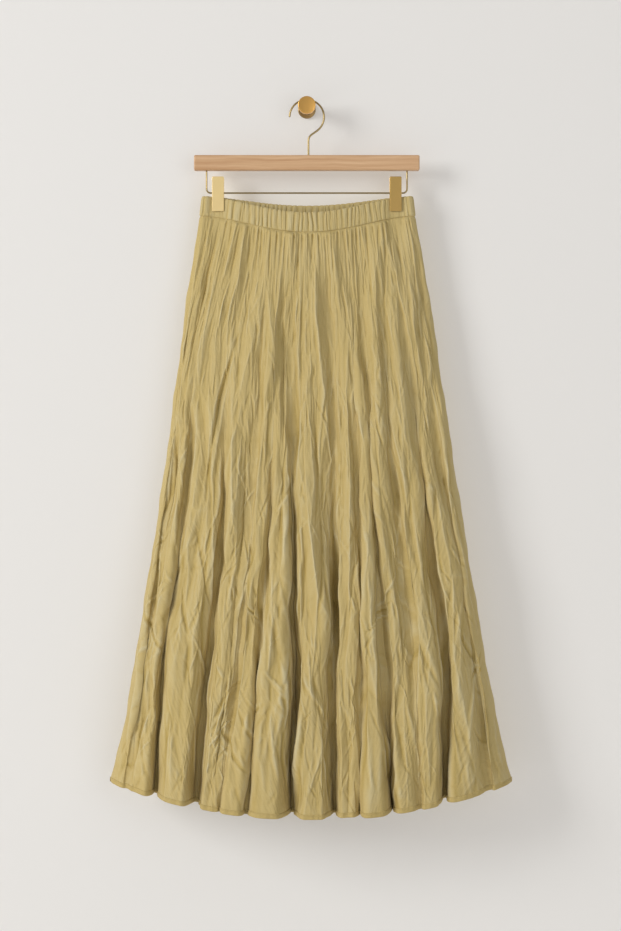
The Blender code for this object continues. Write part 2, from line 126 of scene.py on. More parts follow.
# A smooth curve through values, which stand at knots, read at v.
def eased(v, knots, values):
    knots, values = np.asarray(knots, float), np.asarray(values, float)
    slopes = np.gradient(values, knots, axis=0)
    i = int(np.clip(np.searchsorted(knots, v) - 1, 0, len(knots) - 2))
    step = knots[i + 1] - knots[i]
    t = (v - knots[i]) / step
    return (
        (2 * t**3 - 3 * t**2 + 1) * values[i]
        + (t**3 - 2 * t**2 + t) * step * slopes[i]
        + (3 * t**2 - 2 * t**3) * values[i + 1]
        + (t**3 - t**2) * step * slopes[i + 1]
    )


def smoothstep(low, high, value):
    t = np.clip((value - low) / (high - low), 0, 1)
    return t * t * (3 - 2 * t)


# low up to start, and changed by rise from end on.
def ramp(value, start, end, low, rise):
    return low + rise * smoothstep(start, end, value)


# The sines of a wave: size, turns, and what scatters their starts
waveParts = ((0.55, 1, 12.9), (0.30, 1.9, 78.2), (0.22, 3.7, 37.7))
waveScatter = 43.7


# A smooth, uneven wave along t, about -1 to 1, different for each seed.
def wave(t, seed):
    starts = np.sin(seed * np.array([scatter for _, _, scatter in waveParts])) * waveScatter
    parts = zip(waveParts, starts)
    return sum(size * np.sin(2 * pi * (turns * t + start)) for (size, turns, _), start in parts)


# The cross-section's sizes at height share v, in metres.
def sectionAt(v):
    rows = np.array([row[1:] for row in sections]) * mm
    return Section(v, *eased(v, [row.v for row in sections], rows))


# How much a clip presses the waist flat there.
def clipPinch(v, x):
    beside = np.exp(-(((np.abs(x) - clipX) / clipPress["reach"]) ** clipPress["power"]))
    return clipPress["share"] * beside * (1 - smoothstep(*clipPress["fades"], v))


# From the skirt's middle out to its lobes, at x.
def depthAt(v, side, x):
    size = sectionAt(v)
    depth = size.frontDepth if side == front else size.backDepth
    across = np.clip(np.abs(x - size.middleX) / size.halfWidth, 0, 1)
    atWaist = 1 - smoothstep(*roundness["below"], v)
    pairs = (roundness["power"], roundness["rounding"])
    power, rounding = (high * atWaist + low * (1 - atWaist) for high, low in pairs)
    shape = (1 - across**power) ** rounding
    return (size.edge + (depth - size.edge) * shape) * (1 - clipPinch(v, x))


# x and depth share of a fold's valley at height share v.
def valleyAt(v, fold, side):
    across = 2 * fold.column / columnCount - 1
    size = sectionAt(v)
    if v <= 0:
        return size.middleX + across * size.halfWidth, 0
    waistX = waist.middleX + across * waist.halfWidth
    x = eased(v, foldV, (waistX, fold.hip, fold.knee, fold.calf, fold.hem)) * mm
    cuts = (0, fold.hipCut, fold.kneeCut, fold.calfCut, fold.hemCut)
    cut = eased(v, foldV, cuts) * foldShape["depth"]
    seed = fold.column + (0.5 if side == back else 0)
    away = smoothstep(*wander["starts"], v) * ramp(v, *wander["ends"])
    x += wander["sideways"] * mm * away * wave(v * wander["turns"], seed)
    cut *= 1 + wander["depth"] * away * wave(v * wander["turns"] * wander["depthTurns"], seed + 7)
    return x, cut


# Values from both, in turns.
def interleave(outer, inner):
    mixed = np.empty(len(outer) + len(inner))
    mixed[::2], mixed[1::2] = outer, inner
    return mixed


# Columns, x and depth shares of seam, crest, valley, crest and so on, and the leans between.
def stationsAt(v, side):
    size = sectionAt(v)
    rows = folds[side]
    valleyX, valleyCut = zip(*(valleyAt(v, fold, side) for fold in rows))
    leans, setBack = smoothstep(*foldShape["leans"], v), smoothstep(*foldShape["setsBack"], v)
    columns = np.array([0, *(fold.column for fold in rows), columnCount], float)
    x = np.array([size.middleX - size.halfWidth, *valleyX, size.middleX + size.halfWidth])
    lean = [leans * turn for fold in rows for turn in (fold.leanLeft, fold.leanRight)]
    return (
        interleave(columns, (columns[1:] + columns[:-1]) / 2),
        interleave(x, (x[1:] + x[:-1]) / 2),
        interleave([0, *valleyCut, 0], [0, *(fold.back * setBack for fold in rows)]),
        np.array([0, *lean, 0]),
    )


# The panel's level curve at height share v: x, y and depth share for each column of cloth.
def curveAt(v, side, columns):
    station, stationX, stationCut, lean = stationsAt(v, side)
    i = np.clip(np.searchsorted(station, columns, side="right") - 1, 0, len(station) - 2)
    f = (columns - station[i]) / (station[i + 1] - station[i])
    first, last = i == 0, i == len(station) - 2
    inward = i % 2 == 1
    fromCrest = np.where(inward, f, 1 - f)
    lower = smoothstep(*foldShape["lower"], v)
    flat = max(foldShape["flatCloth"] * lower, 1e-9)
    rise = np.clip(fromCrest / (1 - flat), 0, 1)
    wide, power = (
        top + (np.where(inward, left, right) - top) * lower
        for top, left, right in (foldShape["wide"], foldShape["narrow"])
    )
    slope, bottom = foldShape["slope"], foldShape["flatWidth"] * lower
    away = (1 - slope) * (1 - (1 - rise) ** wide) + slope * rise
    away = away + foldShape["lean"] * np.abs(lean[i]) * np.sin(pi * rise**2) ** 2
    away = away * (1 - bottom) + bottom * np.clip((fromCrest - 1) / flat + 1, 0, 1)
    along = np.where(inward, away, 1 - away)
    along = np.where(first, 1 - np.cos(pi / 2 * f), np.where(last, np.sin(pi / 2 * f), along))
    x = stationX[i] + (stationX[i + 1] - stationX[i]) * along
    crest = np.where(inward, stationCut[i], stationCut[i + 1])
    valley = np.where(inward, stationCut[i + 1], stationCut[i])
    cut = crest + (valley - crest) * ((1 - np.cos(pi * rise)) / 2) ** power
    edge = np.where(first, np.sin(pi / 2 * f), np.where(last, np.cos(pi / 2 * f), 1))
    y = sectionAt(v).sideY - side * depthAt(v, side, x) * (1 - cut) * edge
    return x, y, cut


# z of the cloth.
def heightAt(v, side, columns, x, cut):
    size = sectionAt(v)
    sag = waistSag[side] * (1 - (2 * columns / columnCount - 1) ** 2) ** 2
    if v < 0:
        return bandTopZ + (seamZ - bandTopZ) * (1 - v / bandV) - sag
    across = np.clip(np.abs(x - size.middleX) / size.halfWidth, 0, 1)
    hem = sideHemZ - hemDrop * (1 - across**2) + hemHeight
    return (seamZ - sag) * (1 - v) + hem * v + valleyLift * cut * v**2


# The columns divided more finely, as many times.
def finer(times):
    return np.linspace(0, columnCount, columnCount * times + 1)


# The columns moved a little, so that each half lobe's cloth is shared evenly between them.
def evened(v, side, columns):
    dense = finer(columnSpread["samples"])
    x, y, _ = curveAt(v, side, dense)
    hidden = columnSpread["hidden"]
    steps = hidden * np.hypot(np.diff(x), np.diff(y)) + (1 - hidden) * np.abs(np.diff(x))
    length = np.concatenate([[0], steps.cumsum()])
    station = stationsAt(v, side)[0]
    wanted = np.interp(columns, station, np.interp(station, dense, length))
    return np.interp(wanted, length, dense)


# The smooth surface under the crinkles: points, outward normals and depth shares on a grid of heights
# and columns, each point's way round the cloth and the mean width of one column, in millimetres.
class Base:
    def __init__(self, side, heights, columns):
        self.side, self.heights, self.columns = side, np.asarray(heights, float), columns
        points, normals, cuts = [], [], []
        step = 1e-3  # columns
        for v in heights:
            place = evened(v, side, columns)
            x, y, cut = curveAt(v, side, place)
            ahead = curveAt(v, side, np.minimum(place + step, columnCount))
            behind = curveAt(v, side, np.maximum(place - step, 0))
            tangent = np.array([ahead[0] - behind[0], ahead[1] - behind[1]])
            tangent /= np.linalg.norm(tangent, axis=0)
            points.append(np.stack([x, y, heightAt(v, side, place, x, cut)], axis=1))
            normals.append(np.stack([tangent[1], -tangent[0], 0 * x], axis=1) * side)
            cuts.append(cut)
        self.points, self.normals = np.array(points), np.array(normals)
        self.cuts = np.array(cuts)
        gaps = np.linalg.norm(np.diff(self.points, axis=1), axis=2) / mm
        self.along = np.pad(gaps.cumsum(axis=1), ((0, 0), (1, 0)))
        self.columnWidth = self.along[:, -1] / (columns[-1] - columns[0])

    # The grid's points, moved out along the normals and down, in millimetres.
    def moved(self, out, down=0.0):
        points = self.points + self.normals * np.asarray(out)[..., None] * mm
        points[..., 2] -= down * mm
        return points


# The seeds of the random numbers
seeds = {
    "crinkles": {front: 5, back: 6}, "gathers": {front: 31, back: 32},
    "casing": {front: 42, back: 40}, "hem": {front: 52, back: 50},
}
# Crinkles: each stroke is a crease with a sharp crest or trough, flat flanks and tapered ends
panelHeight = 838  # millimetres down the cloth
strokeSizes = {
    # count for each square metre, half length, half width, height, sideways slope near the hem
    "broad": (170, (70, 170), (12, 24), (1.6, 3.6), 0.10),
    "middle": (330, (26, 80), (4.6, 9), (1.1, 2.3), 0.20),
    "fine": (2300, (9, 36), (2.2, 4.2), (0.4, 1.0), 0.30),
}
# How strokes change down the cloth, as ramps: start and end in height, value and its rise. Then chance
stroke = {
    "narrow": (0, 0.45, 0.66, 0.34), "length": (0.3, 0.8, 1.15, -0.3),
    "loose": (0.15, 0.7, 0.25, 0.75),  # how freely they lie: upright near the waist, any way below
    "taller": (0.4, 0.8, 1, 0.4),  # the broad and middle ones
    "crowding": 0.4,  # power of the cloth's width: how much more of them lie where it is wider
    "height": (0.65, 0.5), "bow": 0.05, "left": (0.6, 1), "right": (0.9, 1.5),
}
# How a crease's height and width fade towards its ends. An anchored one also has a start, for a ramp
fading = {"power": 1.2, "width": 0.45, "anchoredWidth": (0.7, 0.6), "start": (0, 0.15, 0.35, 0.65)}
placed = {"shortest": 0.004, "widerRight": 1.3}  # listed creases: height share, times
facetSizes = {
    # columns apart, millimetres apart down the cloth, height near the hem, share left at the waist
    "facets": (2.7, 135, 6.2, 0.58),
    "shards": (1.3, 62, 2.6, 0.6),
}
# Where facets are full, how they begin at the seam, how far corners stray, and the heights' power
facetShape = {"full": 0.6, "seam": (0, 0.05, 0.5, 0.5), "jitter": 0.36, "power": 0.7}
# Crow's feet, short creases that run together in a point: how many on a square metre, radius, creases
# in each, half length, half width, height and distance, in millimetres, and their sideways slope
crowFoot = {
    "count": 40, "heights": (0.05, 0.98), "radius": (16, 46), "creases": (4, 10), "length": (9, 26),
    "width": (2.2, 4.6), "right": (1, 1.8), "height": (0.6, 1.5), "away": (0.3, 1.2), "slope": 0.5,
    "spread": 0.9,
}
# The stitched-in valleys at the waist seam. The length has a mean and spread in logarithms, then limits
gather = {
    "count": 45, "jitter": 0.42, "length": (4.55, 0.55), "limits": (35, 330), "depth": (1.0, 2.7),
    "width": (2.4, 4.2), "slope": 0.02, "bow": 0.04,
}


# Adds one crease to field. Lengths are half lengths in millimetres; an anchored one starts at v at its
# full height and runs down only.
def addStroke(field, base, column, v, length, widths, height, slope=0.0, bow=0.0, anchored=False):
    top = v if anchored else v - length / panelHeight
    rows = slice(*np.searchsorted(base.heights, (top, v + length / panelHeight)))
    if rows.stop - rows.start < 1:
        return
    t = (base.heights[rows] - v) * panelHeight / length
    along = base.along[rows]
    start = min(np.searchsorted(base.columns, column), len(base.columns) - 1)
    middle = along[:, start] + slope * t * length + bow * t * t
    ends = [0, len(t) // 2, -1]
    first = min(np.searchsorted(along[k], middle[k] - max(widths)) for k in ends)
    last = max(np.searchsorted(along[k], middle[k] + max(widths)) for k in ends)
    if first == last:
        return
    across = slice(first, last)
    d = along[:, across] - middle[:, None]
    inside = np.clip(t, -1, 1)
    if anchored:
        taper = (1 - inside) * ramp(inside, *fading["start"])
        spread = fading["anchoredWidth"][0] + fading["anchoredWidth"][1] * inside
    else:
        taper, spread = 1 - inside**2, 1 - fading["width"] * inside**2
    side = np.where(d < 0, widths[0], widths[1]) * spread[:, None]
    profile = np.clip(1 - np.abs(d) / side, 0, 1)
    field[rows, across] += height * profile * (taper ** fading["power"])[:, None]


# The column and height share of the cloth seen from the front at x, z in millimetres.
def placeOf(base, x, z):
    column = len(base.columns) // 2
    for _ in range(2):
        row = int(np.argmin(np.abs(base.points[:, column, 2] - z * mm)))
        column = int(np.argmin(np.abs(base.points[row, :, 0] - x * mm)))
    return base.columns[column], base.heights[row]


# A listed crease, from its upper to its lower end as seen from the front.
def addCrease(field, base, x0, z0, x1, z1, width, height, bow=0.0):
    column0, v0 = placeOf(base, x0, z0)
    column1, v1 = placeOf(base, x1, z1)
    v0, v1 = min(v0, v1 - placed["shortest"]), max(v1, v0 + placed["shortest"])
    v, column = (v0 + v1) / 2, (column0 + column1) / 2
    length = (v1 - v0) / 2 * panelHeight
    width0 = np.interp(v, base.heights, base.columnWidth)
    slope = (column1 - column0) / 2 * width0 / length
    pair = (width, width * placed["widerRight"])
    addStroke(field, base, column, v, length, pair, height, slope, bow)


# Columns of the stitched-in valleys at the waist seam, unevenly spaced.
def gatherPlaces(side):
    rng = np.random.default_rng(seeds["gathers"][side])
    count = gather["count"]
    places = (np.arange(count) + gather["jitter"] * rng.uniform(-1, 1, count)) * columnCount / (count - 1)
    return np.clip(places, 0, columnCount)


# Crumples the field into flat triangles between jittered points of random height.
def addFacets(field, base, across, down, height, share, rng):
    columns = np.arange(-across, columnCount + 2 * across, across)
    rows = np.arange(-down, panelHeight + 2 * down, down)
    grid = np.stack(np.meshgrid(np.arange(len(columns)), np.arange(len(rows))), axis=2).astype(float)
    grid[1::2, :, 0] += 0.5
    grid += rng.uniform(-facetShape["jitter"], facetShape["jitter"], grid.shape)
    places = grid.reshape(-1, 2)
    heights = rng.uniform(-1, 1, len(places))
    heights = np.sign(heights) * np.abs(heights) ** facetShape["power"] * height
    _, _, faces, *_ = delaunay_2d_cdt([Vector(p) for p in places], [], [], 0, 1e-6)
    at = np.stack([columns[0] + places[:, 0] * across, (rows[0] + places[:, 1] * down) / panelHeight], 1)
    level = np.zeros_like(field)
    for face in faces:
        corners = at[face]
        tall = slice(*np.searchsorted(base.heights, (corners[:, 1].min(), corners[:, 1].max())))
        wide = slice(*np.searchsorted(base.columns, (corners[:, 0].min(), corners[:, 0].max())))
        if tall.start == tall.stop or wide.start == wide.stop:
            continue
        v, u = base.heights[tall, None], base.columns[None, wide]
        (ax, ay), (bx, by), (cx, cy) = corners
        whole = (by - cy) * (ax - cx) + (cx - bx) * (ay - cy)
        a = ((by - cy) * (u - cx) + (cx - bx) * (v - cy)) / whole
        b = ((cy - ay) * (u - cx) + (ax - cx) * (v - cy)) / whole
        c = 1 - a - b
        inside = (a >= -1e-9) & (b >= -1e-9) & (c >= -1e-9)
        value = a * heights[face[0]] + b * heights[face[1]] + c * heights[face[2]]
        level[tall, wide] = np.where(inside, value, level[tall, wide])
    growth = ramp(base.heights, 0, facetShape["full"], share, 1 - share)
    growth = growth * ramp(base.heights, *facetShape["seam"])
    field += level * growth[:, None]


# The height of the fine surface over the base, in millimetres.
def crinkles(base):
    side = base.side
    rng = np.random.default_rng(seeds["crinkles"][side])
    field = np.zeros((len(base.heights), len(base.columns)))
    areaAbove = np.cumsum(base.columnWidth ** stroke["crowding"])
    area = base.columnWidth.mean() * columnCount * panelHeight * 1e-6
    least, more = stroke["height"]
    for name, (count, lengths, widths, sizes, slope) in strokeSizes.items():
        for _ in range(int(count * area)):
            v = base.heights[np.searchsorted(areaAbove, rng.uniform(0, areaAbove[-1]) * 0.9999)]
            column = rng.uniform(0, columnCount)
            narrow = ramp(v, *stroke["narrow"])
            width = rng.uniform(*widths) * narrow
            height = rng.uniform(*sizes) * (0.5 + 0.5 * narrow) * (least + more * rng.uniform())
            if name != "fine":
                height *= ramp(v, *stroke["taller"])
            sign = 1 if rng.uniform() < 0.5 else -1
            tilt = rng.normal(0, slope) * ramp(v, *stroke["loose"])
            length = rng.uniform(*lengths) * ramp(v, *stroke["length"])
            bow = rng.normal(0, stroke["bow"]) * length
            pair = [width * rng.uniform(*stroke[half]) for half in ("left", "right")]
            addStroke(field, base, column, v, length, pair, sign * height, tilt, bow)
    for sizes in facetSizes.values():
        addFacets(field, base, *sizes, rng)
    for _ in range(int(crowFoot["count"] * area)):
        v, column = rng.uniform(*crowFoot["heights"]), rng.uniform(0, columnCount)
        width = np.interp(v, base.heights, base.columnWidth)
        loose = ramp(v, *stroke["loose"])
        radius = rng.uniform(*crowFoot["radius"])
        for _ in range(rng.integers(*crowFoot["creases"])):
            down = rng.choice((-1, 1)) * rng.uniform(*crowFoot["away"]) * radius
            slope = rng.normal(0, crowFoot["slope"]) * crowFoot["spread"] * loose
            half = rng.uniform(*crowFoot["width"])
            addStroke(
                field, base, column + slope * down / width, v + down / panelHeight,
                rng.uniform(*crowFoot["length"]), (half, half * rng.uniform(*crowFoot["right"])),
                rng.choice((-1, 1)) * rng.uniform(*crowFoot["height"]) * (0.4 + 0.6 * loose), slope,
            )
    for column in gatherPlaces(side):
        length = float(np.clip(rng.lognormal(*gather["length"]), *gather["limits"]))
        depth = rng.uniform(*gather["depth"])
        addStroke(
            field, base, column, -1e-6, length, [rng.uniform(*gather["width"]) for _ in range(2)],
            -depth, rng.normal(0, gather["slope"]), rng.normal(0, gather["bow"]) * length, anchored=True,
        )
    return field


# Where crinkles ease off: columns from a side seam, times a clip's pinch, and ramps over a fold's depth
# and over the height. The side seams wave in and out by millimetres
easing = {
    "edge": 3, "pinch": 1.8, "deep": (0.25, 0.65, 1, -0.6), "hem": (0.96, 1.0, 1, -0.45),
    "sway": 1.3, "swayTurns": 6, "swayFrom": (0, 0.1),
}


# Crinkles ease off where a clip presses, deep in folds and at the hem, and end at the side seams,
# where both panels wave alike.
def calmed(base, field):
    v = base.heights[:, None]
    pinch = np.array([clipPinch(h, row[:, 0]) for h, row in zip(base.heights, base.points)])
    edge = np.minimum(base.columns, columnCount - base.columns)[None, :]
    inland = smoothstep(0, easing["edge"], edge)
    calm = (1 - easing["pinch"] * pinch) * inland * ramp(base.cuts, *easing["deep"])
    field = field * calm * ramp(v, *easing["hem"])
    begun = smoothstep(*easing["swayFrom"], v)
    left, right = (easing["sway"] * wave(v * easing["swayTurns"], seed) * begun for seed in (1, 2))
    return field + (1 - inland) * np.where(base.columns < columnCount / 2, left, right)


# A running mean, along both axes.
def blurred(field, cells):
    for axis in (0, 1):
        pad = [(0, 0), (0, 0)]
        pad[axis] = (cells + 1, cells)
        total = np.cumsum(np.pad(field, pad, mode="edge"), axis=axis)
        ahead = np.take(total, range(2 * cells + 1, total.shape[axis]), axis=axis)
        behind = np.take(total, range(0, total.shape[axis] - 2 * cells - 1), axis=axis)
        field = (ahead - behind) / (2 * cells + 1)
    return field


# How much the shading normals exaggerate each crease, and against how many cells around it
crispness, crispCells = 1.25, 2


# Unit normals of a grid of points, sharpened against their neighbours'.
def gridNormals(points, side):
    normals = np.cross(np.gradient(points, axis=0), np.gradient(points, axis=1))
    normals /= np.linalg.norm(normals, axis=2)[..., None]
    around = np.stack([blurred(normals[..., k], crispCells) for k in range(3)], axis=2)
    normals += crispness * (normals - around)
    return normals / np.linalg.norm(normals, axis=2)[..., None] * side


def newObject(name, data):
    obj = bpy.data.objects.new(name, data)
    bpy.context.scene.collection.objects.link(obj)
    return obj


def addObject(name, mesh, material, nodes):
    obj = newObject(name, mesh)
    mesh.materials.append(material)
    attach(obj, "root")
    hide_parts(*nodes)
    return obj


def smoothMesh(name, verts, faces):
    mesh = bpy.data.meshes.new(name)
    mesh.from_pydata(verts, [], faces)
    mesh.shade_smooth()
    return mesh


# A mesh of quads over a grid of points, with UVs in metres of cloth.
def gridMesh(name, points, uvs, flip=False, closedAcross=False, normals=None, relief=None):
    rows, cols = points.shape[:2]
    index = np.arange(rows * cols).reshape(rows, cols)
    if closedAcross:
        index = np.vstack([index, index[:1]])
        uvs = np.concatenate([uvs, uvs[:1]])
    corners = [np.s_[:-1, :-1], np.s_[1:, :-1], np.s_[1:, 1:], np.s_[:-1, 1:]]
    if flip:
        corners.reverse()
    quads = np.stack([index[c] for c in corners], axis=-1).reshape(-1, 4)
    mesh = smoothMesh(name, points.reshape(-1, 3), quads.tolist())
    corner = np.stack([uvs[c] for c in corners], axis=2)
    layer = mesh.uv_layers.new(name="cloth")
    layer.data.foreach_set("uv", corner.reshape(-1).astype(np.float32))
    # The relief attribute carries painted shade and highlight for the cloth's colour
    if relief is not None:
        shade = mesh.color_attributes.new("relief", "FLOAT_COLOR", "POINT")
        grey = np.repeat(relief.reshape(-1, 1), 4, axis=1)
        grey[:, 3] = 1
        shade.data.foreach_set("color", grey.reshape(-1).astype(np.float32))
    if normals is not None:
        mesh.normals_split_custom_set_from_vertices(normals.reshape(-1, 3).tolist())
    return mesh


# Places in the flat cloth, in metres.
def clothUvs(base):
    u = (base.along - base.along[:, -1:] / 2) * mm
    v = np.repeat(-base.heights[:, None] * panelHeight * mm, len(base.columns), axis=1)
    return np.stack([u, v], axis=2)


panel = {
    front: {"name": "front", "rows": 381, "fine": 8, "seams": (0, 30, 54, 80)},
    back: {"name": "back", "rows": 301, "fine": 6, "seams": (0, 38, 80)},
}
# How far below its top a panel turns in under the casing, and how deep, in millimetres
seamTuck = (4.2, 1.2)
# Painted shade and highlight that tint the cloth by its relief: cells round a crease and the height that
# counts, for painted highlight on ridges and painted shade in troughs, and painted shade deep in folds
paintedShadeAndHighlight = {"creases": ((2, 2.2), (6, 9)), "deep": (0.25, 0.7, 0, -0.08)}


# One panel's pieces, which meet in deep folds. Returns its base, its crinkles and the pieces.
def skirtPanel(side, creases, material):
    size = panel[side]
    heights = np.linspace(0, 1, size["rows"])
    columns = finer(size["fine"])
    base = Base(side, heights, columns)
    field = crinkles(base)
    for crease in creases:
        addCrease(field, base, *crease)
    field = calmed(base, field)
    free = smoothstep(0, seamTuck[0] / panelHeight, heights)[:, None]
    points = base.moved(field * free - seamTuck[1] * (1 - free))
    normals = gridNormals(points, side)
    # The relief: painted highlight on ridges, painted shade in troughs and deep in folds, later mixed into
    # the cloth's colour
    relief = 0.5
    for cells, height in paintedShadeAndHighlight["creases"]:
        relief = relief + (field - blurred(field, cells)) / height
    relief = np.clip(relief + ramp(base.cuts, *paintedShadeAndHighlight["deep"]), 0, 1)
    uvs = clothUvs(base)
    pieces = []
    for number, (start, end) in enumerate(zip(size["seams"], size["seams"][1:])):
        part = slice(start * size["fine"], end * size["fine"] + 1)
        name = f"skirt_{size['name']}_{number + 1}"
        mesh = gridMesh(
            name, points[:, part], uvs[:, part], flip=side == back,
            normals=normals[:, part], relief=relief[:, part],
        )
        pieces.append(addObject(name, mesh, material, [f"skirt_{size['name']}"]))
    return base, field, pieces


# The casing, down its outside, round its rolled top edge and down its inside:
# share of its height above the seam, millimetres out, share of the ribs' depth
bandProfile = (
    (0.00, -0.6, 0.2), (0.03, 0.1, 0.5), (0.08, 0.45, 0.8), (0.18, 0.6, 1), (0.34, 0.65, 1),
    (0.50, 0.6, 1), (0.66, 0.65, 1), (0.80, 0.6, 1), (0.90, 0.45, 0.95), (0.96, 0.1, 0.85),
    (1.00, -0.7, 0.7), (1.00, -1.5, 0.5), (0.96, -2.1, 0.1), (0.88, -2.4, -0.7),
    (0.70, -2.5, -1), (0.40, -2.5, -0.9), (0.12, -2.4, -0.6), (0.00, -1.9, 0),
)
# The ribs' depth, the top edge's dip between two, in front and behind, and the back's rise, all in
# millimetres; then a rib's shape and swell, and each wave's size, turns and seed; last the relief that
# paints shade in the grooves and highlight on the ribs' tops
band = {
    "columns": 9, "ribs": (1.5, 3.0), "scallop": (0.7, 1.1), "rise": 4.0,
    "power": 0.45, "middle": 0.65, "swell": (0.8, 0.3, 3.5), "edge": (0, 1.2), "top": (0.85, 1),
    "pinch": 2.1, "slant": (0.7, 0.09, 9), "shift": (0.2, 0.6, 0.05, 3),
    "pucker": (0.2, 1.3, 0.4, 21), "relief": (0.53, 0.3, 0.05, 0.8),
}


# The elastic casing with its ribs.
def waistbandPiece(side, material):
    rng = np.random.default_rng(seeds["casing"][side])
    columns = finer(band["columns"])
    base = Base(side, [bandV * share for share, _, _ in bandProfile], columns)
    places = np.concatenate([[0], gatherPlaces(side)[1:-1], [columnCount]])
    tall = rng.uniform(*band["ribs"], len(places) - 1)
    turn = rng.uniform(0, 100, len(places) - 1)
    out, down, bumps = np.zeros((3, len(bandProfile), len(columns)))
    edge = smoothstep(*band["edge"], np.minimum(columns, columnCount - columns))
    slantBy, slantTurns, slantSeed = band["slant"]
    shiftBy, shiftDown, shiftAcross, shiftSeed = band["shift"]
    puckerBy, puckerAcross, puckerDown, puckerSeed = band["pucker"]
    least, swell, swellDown = band["swell"]
    for row, (share, stand, rib) in enumerate(bandProfile):
        slant = (share - 0.5) * slantBy * wave(columns * slantTurns, slantSeed + side)
        shift = shiftBy * wave(share * shiftDown + columns * shiftAcross, shiftSeed + side) + slant
        i = np.clip(np.searchsorted(places, columns + shift, side="right") - 1, 0, len(tall) - 1)
        f = np.clip((columns + shift - places[i]) / (places[i + 1] - places[i]), 0, 1)
        height = tall[i] * (least + swell * np.sin(swellDown * share + turn[i]))
        free = 1 - band["pinch"] * clipPinch(base.heights[row], base.points[row, :, 0])
        ribs = (np.sin(pi * f) ** band["power"] - band["middle"]) * free * edge
        puckers = wave(columns * puckerAcross + share * puckerDown, puckerSeed + side)
        bumps[row] = height * ribs + puckerBy * puckers * free * edge
        out[row] = stand + rib * bumps[row]
        down[row] = -band["scallop"][side == back] * ribs * smoothstep(*band["top"], share)
        if side == back:
            down[row] -= band["rise"] * share * np.sin(pi * columns / columnCount) ** 2
    # Painted shade in the grooves between ribs and painted highlight on their tops, kept as the mesh's
    # relief
    middle, change, *limits = band["relief"]
    relief = np.clip(middle + change * bumps, *limits)
    name = f"waistband_{panel[side]['name']}_cloth"
    points = base.moved(out, down)
    mesh = gridMesh(name, points, clothUvs(base), flip=side == front, closedAcross=True, relief=relief)
    return addObject(name, mesh, material, [f"waistband_{panel[side]['name']}"])


# The turned-up hem: millimetres below the panel's edge and out from it, once round
hemProfile = (
    (-1.2, 0.25), (-0.6, 0.75), (0.8, 1.0), (2.6, 0.95), (4.4, 1.0), (5.5, 0.7), (6.0, 0.0),
    (5.5, -0.7), (4.4, -1.0), (2.6, -1.0), (0.8, -1.0), (-0.6, -0.75), (-1.2, -0.25),
)
# Twist and pucker: columns from one value to the next, and size; where the stitches lie: out and below
hemShape = {"columns": 9, "tall": 6, "twist": (1.6, 0.5), "pucker": (0.5, 0.22), "stitches": (1.05, 0.6)}


# How far along a path each of its points is.
def distancesAlong(path):
    return np.concatenate([[0], np.linalg.norm(np.diff(path, axis=0), axis=1).cumsum()])


# Chance values every few columns, with straight lines between them.
def uneven(rng, columns, step, size):
    knots = np.arange(0, columnCount + step / 2, step)
    return np.interp(columns, knots, rng.normal(0, size, len(knots)))


# The hem of one panel. Returns it, the line that its stitches follow, and the way out from it.
def hemPiece(base, field, material):
    side = base.side
    rng = np.random.default_rng(seeds["hem"][side])
    columns = finer(hemShape["columns"])
    edge = Base(side, [1], columns)
    crinkle = np.interp(columns, base.columns, field[-1])
    twist = uneven(rng, columns, *hemShape["twist"])
    pucker = uneven(rng, columns, *hemShape["pucker"])
    loop = []
    for down, out in hemProfile:
        lean = twist * np.clip(down, 0, None) / hemShape["tall"]
        loop.append(edge.moved(crinkle + out + lean + pucker * np.sign(out), down)[0])
    points = np.array(loop)
    along = distancesAlong(points[0])
    uvs = np.stack(np.broadcast_arrays(along, [[down * mm] for down, _ in hemProfile]), axis=2)
    name = f"hem_{panel[side]['name']}_cloth"
    mesh = gridMesh(name, points, uvs, flip=side == front, closedAcross=True)
    hem = addObject(name, mesh, material, [f"hem_{panel[side]['name']}"])
    out, down = hemShape["stitches"]
    return hem, edge.moved(crinkle + out, down)[0], edge.normals[0]


# Stitches: millimetres, and the rings of one as shares of its length and of its thickness
stitch = {
    "length": 2.3, "pitch": 3.5, "thick": 0.26, "sides": 6,
    "along": (0.0, 0.12, 0.5, 0.88, 1.0), "swell": (0.35, 0.85, 1.0, 0.85, 0.35),
}


# Faces of one closed tube, the corners of whose rings are numbered from first.
def tubeFaces(first, rings, sides):
    last = first + (rings - 1) * sides
    faces = [
        (low + k, low + (k + 1) % sides, low + sides + (k + 1) % sides, low + sides + k)
        for low in range(first, last, sides)
        for k in range(sides)
    ]
    return [*faces, tuple(range(first + sides - 1, first - 1, -1)), tuple(range(last, last + sides))]


# Small capsules of thread along a path.
def stitchLine(name, path, outward, material):
    along = distancesAlong(path)
    starts = np.arange(stitch["pitch"] * mm, along[-1] - stitch["pitch"] * mm, stitch["pitch"] * mm)
    shares = np.array(stitch["along"])
    swell = np.array(stitch["swell"]) * stitch["thick"] * mm
    verts, faces = [], []
    sides = stitch["sides"]
    for start in starts:
        places = start + shares * stitch["length"] * mm
        centre = np.stack([np.interp(places, along, path[:, k]) for k in range(3)], axis=1)
        out = np.array([np.interp(start, along, outward[:, k]) for k in range(3)])
        tangent = centre[-1] - centre[0]
        tangent /= np.linalg.norm(tangent)
        up = np.cross(tangent, out)
        faces += tubeFaces(len(verts), len(swell), sides)
        for k, radius in enumerate(swell):
            for angle in 2 * pi * np.arange(sides) / sides:
                verts.append(tuple(centre[k] + radius * (cos(angle) * out + sin(angle) * up)))
    return addObject(name, smoothMesh(name, verts, faces), material, [])


